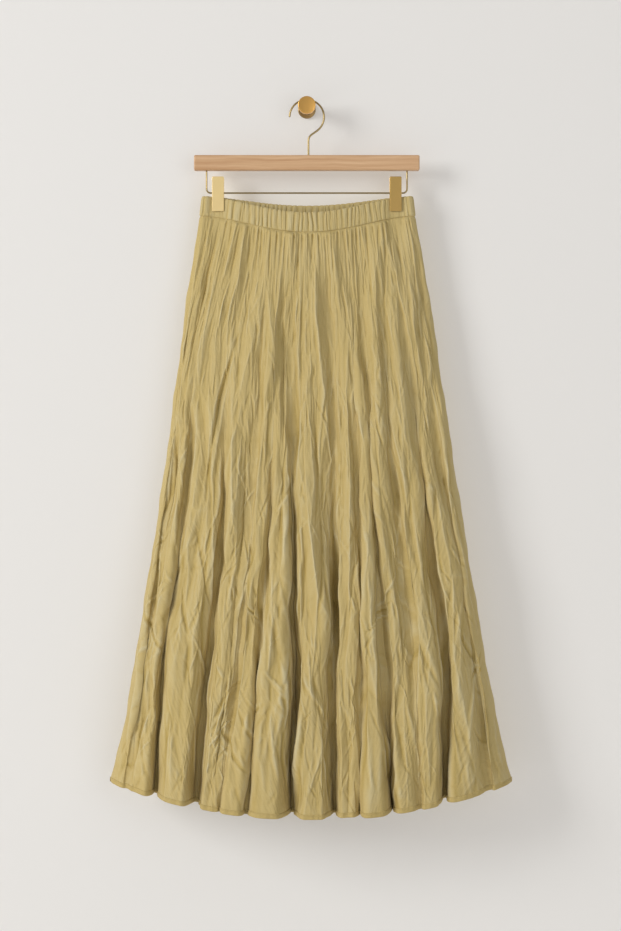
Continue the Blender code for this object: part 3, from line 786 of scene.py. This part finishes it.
# Hardware, in metres
bar = {"length": 327 * mm, "deep": 14 * mm, "tall": 22.2 * mm, "topZ": -71.5 * mm, "edge": (2.0 * mm, 4)}
hook = {
    "wire": 2.8 * mm, "radius": 25 * mm, "stemX": 2.4 * mm, "footZ": -82 * mm, "bend": 6 * mm,
    "tipAngle": 178, "leaveAngle": -55, "gap": 0.3 * mm, "steps": 60, "bendSteps": 13,
}
rail = {
    "wire": 2.4 * mm, "half": 145.5 * mm, "z": -126.1 * mm, "corner": 6 * mm, "endZ": -86 * mm,
    "cornerSteps": 12,
}
clip = {
    "wide": 17 * mm, "thick": 1.6 * mm, "tall": 50.3 * mm, "topZ": -102.8 * mm, "corner": 1.4 * mm,
    "cornerSteps": 6, "edge": (0.35 * mm, 3), "inner": 6.0 * mm, "coil": 4.9 * mm, "coilWire": 1.15 * mm,
    "turns": 9, "turnSteps": 20, "coilSides": 10, "coilLong": 11 * mm,
}
peg = {
    "long": 50 * mm, "flange": 13 * mm, "flangeLong": 4 * mm, "stem": 7.7 * mm, "head": 12.8 * mm,
    "headLong": 8 * mm, "edge": 0.9 * mm, "fillet": 1.2 * mm, "edgeSteps": 5, "sides": 96, "sharp": 40,
}


# Points in the hanger's plane, from angle start to end in degrees.
def arc(centre, radius, start, end, steps):
    angles = np.radians(np.linspace(start, end, steps + 1))
    return [(centre[0] + radius * cos(a), hangY, centre[1] + radius * sin(a)) for a in angles]


# A round wire along a path, with domed ends.
def tube(name, path, thickness, material, nodes, sides=20):
    path = np.array(path)
    tangents = np.gradient(path, axis=0)
    tangents /= np.linalg.norm(tangents, axis=1)[:, None]
    radius = thickness / 2
    dome = [(0.02, -1.0), (0.5, -0.87), (0.87, -0.5)]
    rings = [(path[0] + tangents[0] * radius * s, tangents[0], r) for r, s in dome]
    rings += [(p, t, 1) for p, t in zip(path, tangents)]
    rings += [(path[-1] - tangents[-1] * radius * s, tangents[-1], r) for r, s in reversed(dome)]
    normal = Vector(rings[0][1]).orthogonal().normalized()
    verts = []
    for centre, tangent, share in rings:
        tangent = Vector(tangent)
        normal = (normal - tangent * normal.dot(tangent)).normalized()
        other = tangent.cross(normal)
        for k in range(sides):
            a = 2 * pi * k / sides
            verts.append(Vector(centre) + (normal * cos(a) + other * sin(a)) * radius * share)
    mesh = smoothMesh(name, verts, tubeFaces(0, len(rings), sides))
    return addObject(name, mesh, material, nodes)


# A round hook over the peg, whose lower end turns down into the bar.
def hangerHook(material):
    centre = (0, peg["stem"] + hook["gap"] + hook["wire"] / 2 - hook["radius"])
    leave = hook["leaveAngle"]
    points = arc(centre, hook["radius"], hook["tipAngle"], leave, hook["steps"])
    start = np.array([points[-1][0], points[-1][2]])
    slope = np.array([sin(radians(leave)), -cos(radians(leave))])
    corner = start + slope * (hook["stemX"] - start[0]) / slope[0]
    before, after = corner - slope * hook["bend"], corner - np.array([0, hook["bend"]])
    for t in np.linspace(0, 1, hook["bendSteps"] + 1):
        x, z = (1 - t) ** 2 * before + 2 * t * (1 - t) * corner + t * t * after
        points.append((x, hangY, z))
    points.append((hook["stemX"], hangY, hook["footZ"]))
    tube("hanger_hook_wire", points, hook["wire"], material, ["hanger_hook"])


# The wire that the clips slide on, with its ends turned up into the bar.
def hangerRail(material):
    middle = (rail["half"] - rail["corner"], rail["z"] + rail["corner"])
    points = [(-rail["half"], hangY, rail["endZ"])]
    points += arc((-middle[0], middle[1]), rail["corner"], 180, 270, rail["cornerSteps"])
    points += arc(middle, rail["corner"], 270, 360, rail["cornerSteps"])
    points.append((rail["half"], hangY, rail["endZ"]))
    tube("hanger_rail_wire", points, rail["wire"], material, ["hanger_rail"])


# A mesh that build fills in, given its bmesh.
def meshFrom(name, build):
    work = bmesh.new()
    build(work)
    mesh = bpy.data.meshes.new(name)
    work.to_mesh(mesh)
    work.free()
    return mesh


# Rounds an object's sharp edges.
def softEdges(obj, width, segments):
    bevel = obj.modifiers.new("edges", "BEVEL")
    bevel.width, bevel.segments, bevel.limit_method = width, segments, "ANGLE"
    bevel.harden_normals = True
    obj.data.shade_smooth()


# The wooden bar.
def hangerBar(material):
    def build(work):
        bmesh.ops.create_cube(work, size=1)
        bmesh.ops.scale(work, vec=(bar["length"], bar["deep"], bar["tall"]), verts=work.verts)
        bmesh.ops.translate(work, vec=(0, hangY, bar["topZ"] - bar["tall"] / 2), verts=work.verts)

    obj = addObject("hanger_bar_wood", meshFrom("bar", build), material, ["hanger_bar"])
    softEdges(obj, *bar["edge"])


# One flat plate with rounded corners.
def clipPlate(name, x, y, material, node):
    half, corner, thick = clip["wide"] / 2, clip["corner"], clip["thick"]
    top, bottom = clip["topZ"], clip["topZ"] - clip["tall"]
    corners = (
        (half - corner, top - corner, 0), (-half + corner, top - corner, 90),
        (-half + corner, bottom + corner, 180), (half - corner, bottom + corner, 270),
    )

    def build(work):
        outline = []
        for cx, cz, start in corners:
            for a in np.radians(np.linspace(start, start + 90, clip["cornerSteps"] + 1)):
                outline.append(work.verts.new((x + cx + corner * cos(a), y, cz + corner * sin(a))))
        face = work.faces.new(outline)
        made = bmesh.ops.extrude_face_region(work, geom=[face])
        moved = [g for g in made["geom"] if isinstance(g, bmesh.types.BMVert)]
        bmesh.ops.translate(work, vec=(0, thick, 0), verts=moved)
        bmesh.ops.recalc_face_normals(work, faces=work.faces)

    obj = addObject(name, meshFrom(name, build), material, [node])
    softEdges(obj, *clip["edge"])


# The coil spring round the rail, between the plates.
def clipSpring(name, x, material, node):
    angles = np.linspace(0, 2 * pi * clip["turns"], clip["turnSteps"] * clip["turns"] + 1)
    radius, long = clip["coil"] - clip["coilWire"] / 2, clip["coilLong"]
    path = [
        (x + long * (a / angles[-1] - 0.5), hangY + radius * cos(a), rail["z"] + radius * sin(a))
        for a in angles
    ]
    tube(name, path, clip["coilWire"], material, [node], sides=clip["coilSides"])


# Flange, stem and head, turned from one piece.
def wallPeg(material):
    edge, fillet = peg["edge"], peg["fillet"]
    headBack = peg["long"] - peg["headLong"]
    quarter = [(1 - cos(a), sin(a)) for a in np.linspace(0, pi / 2, peg["edgeSteps"] + 1)]
    profile = [(0, 0), (peg["flange"], 0)]
    profile += [(peg["flange"] - edge * a, peg["flangeLong"] - edge + edge * b) for a, b in quarter]
    profile += [(peg["stem"] + fillet * (1 - b), peg["flangeLong"] + fillet * a) for a, b in quarter]
    profile += [(peg["stem"], headBack)]
    profile += [(peg["head"] - edge * a, headBack + edge - edge * b) for a, b in reversed(quarter)]
    profile += [(peg["head"] - edge * a, peg["long"] - edge + edge * b) for a, b in quarter]
    profile += [(0, peg["long"])]

    def build(work):
        verts = [work.verts.new((radius, -length, 0)) for radius, length in profile]
        edges = [work.edges.new(pair) for pair in zip(verts, verts[1:])]
        bmesh.ops.spin(
            work, geom=verts + edges, cent=(0, 0, 0), axis=(0, 1, 0), angle=2 * pi,
            steps=peg["sides"], use_merge=True,
        )
        bmesh.ops.remove_doubles(work, verts=work.verts, dist=0.001 * mm)
        bmesh.ops.recalc_face_normals(work, faces=work.faces)

    mesh = meshFrom("peg", build)
    mesh.shade_smooth()
    mesh.set_sharp_from_angle(angle=radians(peg["sharp"]))
    addObject("wall_peg_brass", mesh, material, ["wall_peg"])


# Short ways to add nodes and links to one tree.
class Nodes:
    def __init__(self, tree):
        self.tree = tree

    def add(self, kind, values=None, **settings):
        node = self.tree.nodes.new(f"ShaderNode{kind}" if not kind.startswith("Node") else kind)
        for key, value in settings.items():
            setattr(node, key, value)
        self.fill(node, values or {})
        return node

    # Links or sets the node's inputs.
    def fill(self, node, values):
        for key, value in values.items():
            if isinstance(value, bpy.types.NodeSocket):
                self.tree.links.new(value, node.inputs[key])
            else:
                node.inputs[key].default_value = value

    def math(self, operation, a, b=0.0):
        return self.add("Math", {0: a, 1: b}, operation=operation).outputs[0]

    def times(self, a, b):
        return self.math("MULTIPLY", a, b)

    def plus(self, a, b):
        return self.math("ADD", a, b)

    # A mix of two colours, which go in at sockets 6 and 7.
    def mix(self, share, a, b):
        return self.add("Mix", {"Factor": share, 6: a, 7: b}, data_type="RGBA").outputs[2]

    def ranged(self, value, low, high, newLow=0.0, newHigh=1.0):
        values = {"Value": value, 1: low, 2: high, 3: newLow, 4: newHigh}
        return self.add("MapRange", values, clamp=True).outputs[0]

    def mapped(self, place, scale):
        return self.add("Mapping", {"Vector": place, "Scale": scale}).outputs[0]

    def noise(self, place, scale, detail, roughness=0.5):
        values = {"Vector": place, "Scale": scale, "Detail": detail, "Roughness": roughness}
        return self.add("TexNoise", values).outputs[0]

    # place, pushed about by a noise as far as amount says.
    def bent(self, place, scale, amount, **settings):
        noise = self.add("TexNoise", {"Vector": place, "Scale": scale, "Detail": 2.0}, **settings)
        shift = self.add("VectorMath", {0: noise.outputs["Color"], 1: amount}, operation="MULTIPLY")
        return self.add("VectorMath", {0: place, 1: shift.outputs[0]}, operation="ADD").outputs[0]

    def bump(self, height, strength, distance, **under):
        values = {"Height": height, "Strength": strength, "Distance": distance, **under}
        return self.add("Bump", values).outputs[0]


# A shader group, its nodes and what it is given. inputs are (name, kind, value), outputs (name, kind).
def newGroup(name, inputs, outputs):
    group = bpy.data.node_groups.new(name, "ShaderNodeTree")
    for label, kind, value in inputs:
        socket = group.interface.new_socket(label, in_out="INPUT", socket_type=f"NodeSocket{kind}")
        socket.default_value = value
    for label, kind in outputs:
        group.interface.new_socket(label, in_out="OUTPUT", socket_type=f"NodeSocket{kind}")
    n = Nodes(group)
    return group, n, n.add("NodeGroupInput").outputs


# Sizes in metres of cloth, but the threads' pitch in millimetres
# The low colour is painted shade and the high colour painted highlight, mixed in by the relief
cottonGrain = {
    "base": (0.465, 0.36, 0.148, 1), "low": (0.385, 0.282, 0.085, 1), "high": (0.515, 0.44, 0.245, 1),
    "fromLow": (0.1, 0.5), "toHigh": (0.5, 0.95), "pitch": 0.42, "weave": 0.5,
    "slubs": ((60, 1500, 1), (1500, 45, 1)), "slubDetail": (1.0, 3.0, 0.6), "slubTone": 0.5,
    "slubHeight": 1.5, "cloud": (9.0, 4.0), "cloudTone": 0.35, "bend": (22.0, (0.012, 0.012, 0)),
    "creases": ((95, 24, 1), (230, 60, 1)), "smallCreases": 0.5,
}


# Crinkled cotton: its colour from painted shade and highlight by relief and from uneven dye, and the height
# of weave and fine creases.
def clothGroup():
    grain = cottonGrain
    group, n, given = newGroup(
        "crinkleCotton",
        [("Base", "Color", grain["base"]), ("Low", "Color", grain["low"]),
         ("High", "Color", grain["high"]), ("Relief", "Float", 0.5)],
        [("Color", "Color"), ("Weave", "Float"), ("Creases", "Float")],
    )
    uv = n.add("UVMap", uv_map="cloth").outputs[0]
    place = n.add("SeparateXYZ", {0: n.mapped(uv, (1000, 1000, 1))}).outputs
    threads = [n.math("SINE", n.times(place[axis], 2 * pi / grain["pitch"])) for axis in (0, 1)]
    slubs = [n.noise(n.mapped(uv, scale), *grain["slubDetail"]) for scale in grain["slubs"]]
    slub = n.times(n.plus(*slubs), 0.5)
    cloud = n.math("SUBTRACT", n.noise(uv, *grain["cloud"]), 0.5)
    # The relief's painted shade and highlight, with random tone from slubs and cloud
    relief = n.plus(given["Relief"], n.times(n.math("SUBTRACT", slub, 0.5), grain["slubTone"]))
    relief = n.plus(relief, n.times(cloud, grain["cloudTone"]))
    lower = n.mix(n.ranged(relief, *grain["fromLow"]), given["Low"], given["Base"])
    warped = n.bent(uv, *grain["bend"], noise_dimensions="2D")
    broad, small = (
        n.add("TexVoronoi", {"Vector": n.mapped(warped, scale), "Scale": 1.0}, voronoi_dimensions="2D")
        for scale in grain["creases"]
    )
    n.add("NodeGroupOutput", {
        "Color": n.mix(n.ranged(relief, *grain["toHigh"]), lower, given["High"]),
        "Weave": n.plus(n.times(n.times(*threads), grain["weave"]), n.times(slub, grain["slubHeight"])),
        "Creases": n.plus(broad.outputs[0], n.times(small.outputs[0], grain["smallCreases"])),
    })
    return group


# Each layer of grain: its scale, detail and weight, and how the sum is spread over colour and roughness
woodGrain = {
    "light": (0.62, 0.405, 0.23, 1), "dark": (0.43, 0.235, 0.107, 1), "bend": (14.0, (0, 0.008, 0.008)),
    "layers": (((5, 180, 260), 4.0, 0.45), ((2.5, 60, 70), 3.0, 0.4), ((16, 900, 1300), 3.0, 0.15)),
    "tone": (0.36, 0.62), "roughness": (0.3, 0.7, 0.42, 0.56),
}


# Straight fine grain along X, in metres of the object.
def woodGroup():
    group, n, given = newGroup(
        "straightGrain",
        [("Light", "Color", woodGrain["light"]), ("Dark", "Color", woodGrain["dark"])],
        [("Color", "Color"), ("Height", "Float"), ("Roughness", "Float")],
    )
    warped = n.bent(n.add("TexCoord").outputs["Object"], *woodGrain["bend"])
    layers = [n.noise(n.mapped(warped, scale), 1.0, detail) for scale, detail, _ in woodGrain["layers"]]
    broad, soft, fine = (n.times(layer, facts[2]) for layer, facts in zip(layers, woodGrain["layers"]))
    tone = n.ranged(n.plus(n.plus(broad, soft), fine), *woodGrain["tone"])
    n.add("NodeGroupOutput", {
        "Color": n.mix(tone, given["Dark"], given["Light"]), "Height": layers[2],
        "Roughness": n.ranged(layers[0], *woodGrain["roughness"]),
    })
    return group


satinGrain = {"brush": 0.5, "cloud": 0.5, "cloudScale": 60.0, "roughness": (0.3, 0.7, 0.28, 0.38)}


# Satin metal: fine brushing and a faint unevenness.
def metalGroup():
    group, n, given = newGroup(
        "satinMetal", [("Stretch", "Vector", (40, 40, 4000))], [("Height", "Float"), ("Roughness", "Float")]
    )
    place = n.add("TexCoord").outputs["Object"]
    mapped = n.add("VectorMath", {0: place, 1: given["Stretch"]}, operation="MULTIPLY").outputs[0]
    brush, cloud = n.noise(mapped, 1.0, 3.0), n.noise(place, satinGrain["cloudScale"], 3.0)
    both = n.plus(n.times(brush, satinGrain["brush"]), n.times(cloud, satinGrain["cloud"]))
    n.add("NodeGroupOutput", {"Height": brush, "Roughness": n.ranged(both, *satinGrain["roughness"])})
    return group


# A material, its nodes, its shader, and its group's outputs.
def newMaterial(name, group=None, **inputs):
    material = bpy.data.materials.new(name)
    material.use_nodes = True
    n = Nodes(material.node_tree)
    shader = material.node_tree.nodes["Principled BSDF"]
    made = n.add("Group", inputs, node_tree=group).outputs if group else None
    return material, n, shader, made


# The bumps' strength and distance, and the shader's values
cotton = {
    "creases": (0.5, 0.0018), "weave": (0.15, 0.0002), "hemRelief": 0.34,
    "shader": {
        "Roughness": 0.78, "Sheen Weight": 0.08, "Sheen Roughness": 0.45,
        "Sheen Tint": (1.0, 0.93, 0.76, 1), "Specular IOR Level": 0.3,
    },
}


# Cotton. Its relief, which paints shade and highlight into its colour, is a fixed value, or else the mesh's
# own.
def clothMaterial(name, group, relief=None):
    material, n, shader, made = newMaterial(name, group)
    own = n.add("VertexColor", layer_name="relief").outputs[0] if relief is None else relief
    n.fill(made["Color"].node, {"Relief": own})
    creases = n.bump(made["Creases"], *cotton["creases"])
    weave = n.bump(made["Weave"], *cotton["weave"], Normal=creases)
    n.fill(shader, {**cotton["shader"], "Base Color": made["Color"], "Normal": weave})
    return material


woodBump, brassBump = (0.15, 0.0003), (0.06, 0.0001)  # strength and distance


def woodMaterial(group):
    material, n, shader, made = newMaterial("hanger wood", group)
    bump = n.bump(made["Height"], *woodBump)
    n.fill(shader, {"Base Color": made["Color"], "Roughness": made["Roughness"], "Normal": bump})
    return material


# Colour, how metallic, and how fine the brushing is along X, Y and Z
brasses = {
    "wire brass": ((0.37, 0.28, 0.13, 1), 1.0, (900, 900, 60)),
    # The clips are lit and shaded copies of one brass: the left one painted lighter and less metallic, a
    # painted highlight, the right one painted darker, painted shade
    "left clip brass with painted light": ((0.93, 0.71, 0.33, 1), 0.6, (40, 40, 4000)),
    "right clip brass with painted light": ((0.53, 0.345, 0.115, 1), 1.0, (40, 40, 4000)),
    "peg brass": ((0.76, 0.43, 0.12, 1), 1.0, (900, 40, 900)),
}
# The brass behind the peg's head, from one Y to the other, is painted darker: painted shade where the head
# shades the stem and flange.
pegPaintedShade = {"colour": (0.34, 0.24, 0.11, 1), "y": (-40 * mm, -34 * mm)}


def brassMaterial(name, group):
    colour, metallic, stretch = brasses[name]
    material, n, shader, made = newMaterial(name, group, Stretch=stretch)
    if name == "peg brass":
        # Painted shade: the colour darkens towards the wall behind the head
        out = n.add("SeparateXYZ", {0: n.add("TexCoord").outputs["Object"]}).outputs[1]
        colour = n.mix(n.ranged(out, *pegPaintedShade["y"]), colour, pegPaintedShade["colour"])
    bump = n.bump(made["Height"], *brassBump)
    values = {"Base Color": colour, "Metallic": metallic, "Roughness": made["Roughness"], "Normal": bump}
    n.fill(shader, values)
    return material


thread = {"dark": (0.33, 0.24, 0.09, 1), "light": (0.50, 0.39, 0.17, 1), "noise": (900.0, 2.0)}


def threadMaterial():
    material, n, shader, _ = newMaterial("hem thread")
    noise = n.noise(n.add("TexCoord").outputs["Object"], *thread["noise"])
    n.fill(shader, {"Base Color": n.mix(noise, thread["dark"], thread["light"]), "Roughness": 0.6})
    return material


# Listed creases, as seen from the front: upper end x, z, lower end x, z, half width, height above (or depth
# below) the cloth, and sideways bow, all in millimetres
frontCreases = (
    (-100, -320, -158, -575, 5, -4.8, 6), (-90, -420, -118, -560, 7, 2.2, 0),
    (-5, -210, -9, -480, 5, -3.0, 2), (-30, -240, -33, -520, 6, -2.4, -4),
    (28, -330, 37, -640, 6, -2.6, 3), (60, -240, 88, -430, 6, -2.4, 4), (96, -225, 140, -470, 7, -2.8, 5),
    (120, -470, 172, -700, 8, -2.6, -5), (-170, -300, -196, -520, 6, -2.4, -3),
    (-58, -250, -66, -470, 5, -2.2, 2), (-80, -690, -58, -752, 4, -1.7, 2),
    (-90, -716, -64, -744, 4, -1.6, 2), (-72, -712, -60, -748, 3, 1.5, 1),
    (-60, -745, -66, -810, 4, -1.7, 2), (-44, -690, -56, -735, 4, -1.5, 2),
    (121, -712, 80, -752, 4, -1.7, 3), (119, -726, 82, -756, 3, 1.3, 1),
    (106, -741, 80, -759, 3, -1.2, 1), (132, -668, 96, -735, 5, 1.5, -3),
    (104, -640, 86, -772, 5, -1.6, -3), (-185, -690, -167, -770, 5, -2.2, 2),
    (-150, -715, -169, -762, 5, -2.0, -2), (-167, -765, -176, -845, 5, -1.8, 3),
    (-165, -760, -140, -860, 6, 2.0, -4), (-236, -700, -214, -800, 5, -2.0, 3),
    (-205, -730, -222, -880, 5, 2.0, 2), (-112, -835, -128, -880, 5, -2.2, 2),
    (-118, -880, -88, -960, 6, -2.0, 4), (-44, -860, -24, -985, 6, -1.8, 3),
    (-18, -900, -34, -1000, 5, 1.6, 2), (12, -820, 24, -900, 5, -1.8, 0), (24, -900, 6, -985, 6, 1.8, -3),
    (140, -720, 186, -850, 6, -2.2, 5), (146, -850, 160, -960, 6, 2.0, -4),
    (218, -755, 244, -815, 5, -2.2, 2), (252, -780, 240, -830, 5, -2.0, -2),
    (240, -815, 226, -920, 6, 2.2, 4), (206, -860, 226, -960, 5, -1.6, 3),
    (82, -860, 92, -985, 5, 1.8, 3), (60, -700, 54, -830, 6, -2.0, -3),
    (100, -880, 122, -990, 5, -1.8, 4), (-236, -900, -226, -975, 5, -1.8, -2),
    (-190, -880, -196, -985, 6, 1.8, 3),
)
backCreases = (
    (-120, -300, -150, -560, 6, -3.0, 5), (-40, -230, -46, -500, 5, -2.6, 3),
    (20, -260, 28, -560, 6, -2.8, -4), (90, -280, 116, -500, 6, -2.8, 4),
    (-90, -620, -70, -740, 6, -2.4, 3), (-60, -700, -92, -760, 5, -2.2, 2),
    (130, -640, 108, -760, 6, -2.4, -4), (96, -700, 126, -770, 5, 2.0, 3),
    (10, -720, -14, -860, 6, -2.2, 4), (-160, -760, -186, -900, 6, -2.4, -4),
    (170, -780, 196, -920, 6, -2.2, 4), (-20, -860, 8, -980, 5, 2.0, 3), (60, -820, 78, -960, 6, -2.0, 3),
    (-120, -860, -104, -980, 5, 1.8, -3),
)

cottonWeave, satin = clothGroup(), metalGroup()
clothLook = clothMaterial("crinkle cotton", cottonWeave)
hemLook = clothMaterial("hem cotton", cottonWeave, relief=cotton["hemRelief"])
wireLook = brassMaterial("wire brass", satin)
pegLook = brassMaterial("peg brass", satin)
woodLook = woodMaterial(woodGroup())
threadLook = threadMaterial()
print("materials done")

for side, creases in ((front, frontCreases), (back, backCreases)):
    base, field, pieces = skirtPanel(side, creases, clothLook)
    hem, line, outward = hemPiece(base, field, hemLook)
    stitches = stitchLine(f"hem_{panel[side]['name']}_stitches", line, outward, threadLook)
    waistbandPiece(side, clothLook)
print("cloth done")

hangerBar(woodLook)
hangerHook(wireLook)
hangerRail(wireLook)
for where, x in (("left", -clipX), ("right", clipX)):
    # Each clip's brass has painted light: lighter on the left, darker on the right
    look = brassMaterial(f"{where} clip brass with painted light", satin)
    y = clip["inner"]
    clipPlate(f"clip_front_{where}_plate", x, hangY - y - clip["thick"], look, f"clip_front_{where}")
    clipPlate(f"clip_back_{where}_plate", x, hangY + y, look, f"clip_back_{where}")
    clipSpring(f"clip_spring_{where}", x, wireLook, f"clip_barrel_{where}")
wallPeg(pegLook)
print("hardware done")


# Stage: a pale wall that only shows from the front, and a pale floor well below the skirt
stage = {"half": 4.0, "wallY": 0.0006, "floorZ": -1.5, "top": 2.6, "reach": -6.0, "behind": 2}
wallValues = {
    "Base Color": (0.485, 0.495, 0.50, 1), "Roughness": 0.9, "Emission Color": (0.75, 0.68, 0.60, 1),
    "Emission Strength": 0.34,
}
floorValues = {"Base Color": (0.78, 0.76, 0.73, 1), "Roughness": 0.85}


def stagePlane(name, corners, material):
    mesh = bpy.data.meshes.new(name)
    mesh.from_pydata(corners, [], [(0, 1, 2, 3)])
    mesh.materials.append(material)
    newObject(name, mesh)


def wallMaterial():
    material, n, shader, _ = newMaterial("pale wall")
    n.fill(shader, wallValues)
    clear = n.add("BsdfTransparent").outputs[0]
    shadow = n.add("LightPath").outputs["Is Shadow Ray"]
    behind = n.add("NewGeometry").outputs["Backfacing"]
    hidden = n.math("MAXIMUM", shadow, behind)
    mix = n.add("MixShader", {0: hidden, 1: shader.outputs[0], 2: clear})
    n.fill(material.node_tree.nodes["Material Output"], {"Surface": mix.outputs[0]})
    return material


def floorMaterial():
    material, n, shader, _ = newMaterial("pale floor")
    n.fill(shader, floorValues)
    return material


w, y0, z0, z1, y1, y2 = (stage[k] for k in ("half", "wallY", "floorZ", "top", "reach", "behind"))
stagePlane("wall", [(-w, y0, z0), (w, y0, z0), (w, y0, z1), (-w, y0, z1)], wallMaterial())
stagePlane("floor", [(-w, y1, z0), (w, y1, z0), (w, y2, z0), (-w, y2, z0)], floorMaterial())

# Each lamp's place, size, power and colour. All of them point at the skirt's middle
lampTarget = Vector((0, 0, -0.55))
lights = {
    "key": ((-4.4, -3.2, 1.1), (1.9, 2.3), 215, (1.0, 0.975, 0.94)),
    "fill": ((1.8, -3.8, -0.3), (2.4, 2.4), 30, (1.0, 0.985, 0.96)),
    "behind": ((0.3, 1.8, 0.2), (1.6, 1.6), 26, (1.0, 0.98, 0.95)),
}
for name, (place, size, power, colour) in lights.items():
    data = bpy.data.lights.new(name, "AREA")
    data.shape, data.size, data.size_y = "RECTANGLE", *size
    data.energy, data.color = power, colour
    lamp = newObject(name, data)
    lamp.location = place
    lamp.rotation_euler = (lampTarget - Vector(place)).to_track_quat("-Z", "Y").to_euler()

sky = {"Color": (0.93, 0.95, 1.0, 1), "Strength": 0.42}
world = bpy.data.worlds.new("studio")
bpy.context.scene.world = world
world.use_nodes = True
for key, value in sky.items():
    world.node_tree.nodes["Background"].inputs[key].default_value = value
bpy.context.scene.view_settings.view_transform = "Standard"

# Camera: level, its place in metres, its sensor in millimetres, and the photo's height in pixels and how
# many millimetres of wall one pixel shows
view = {"x": 5.35 * mm, "away": 3.5, "z": -521.6 * mm, "sensor": 36, "pixels": 931, "pixel": 1.4668}
cameraData = bpy.data.cameras.new("camera")
cameraData.sensor_width = view["sensor"]
cameraData.lens = view["sensor"] * view["away"] / (view["pixels"] * view["pixel"] * mm)
camera = newObject("camera", cameraData)
camera.location = (view["x"], -view["away"], view["z"])
camera.rotation_euler = (pi / 2, 0, 0)
bpy.context.scene.camera = camera
print("stage done")
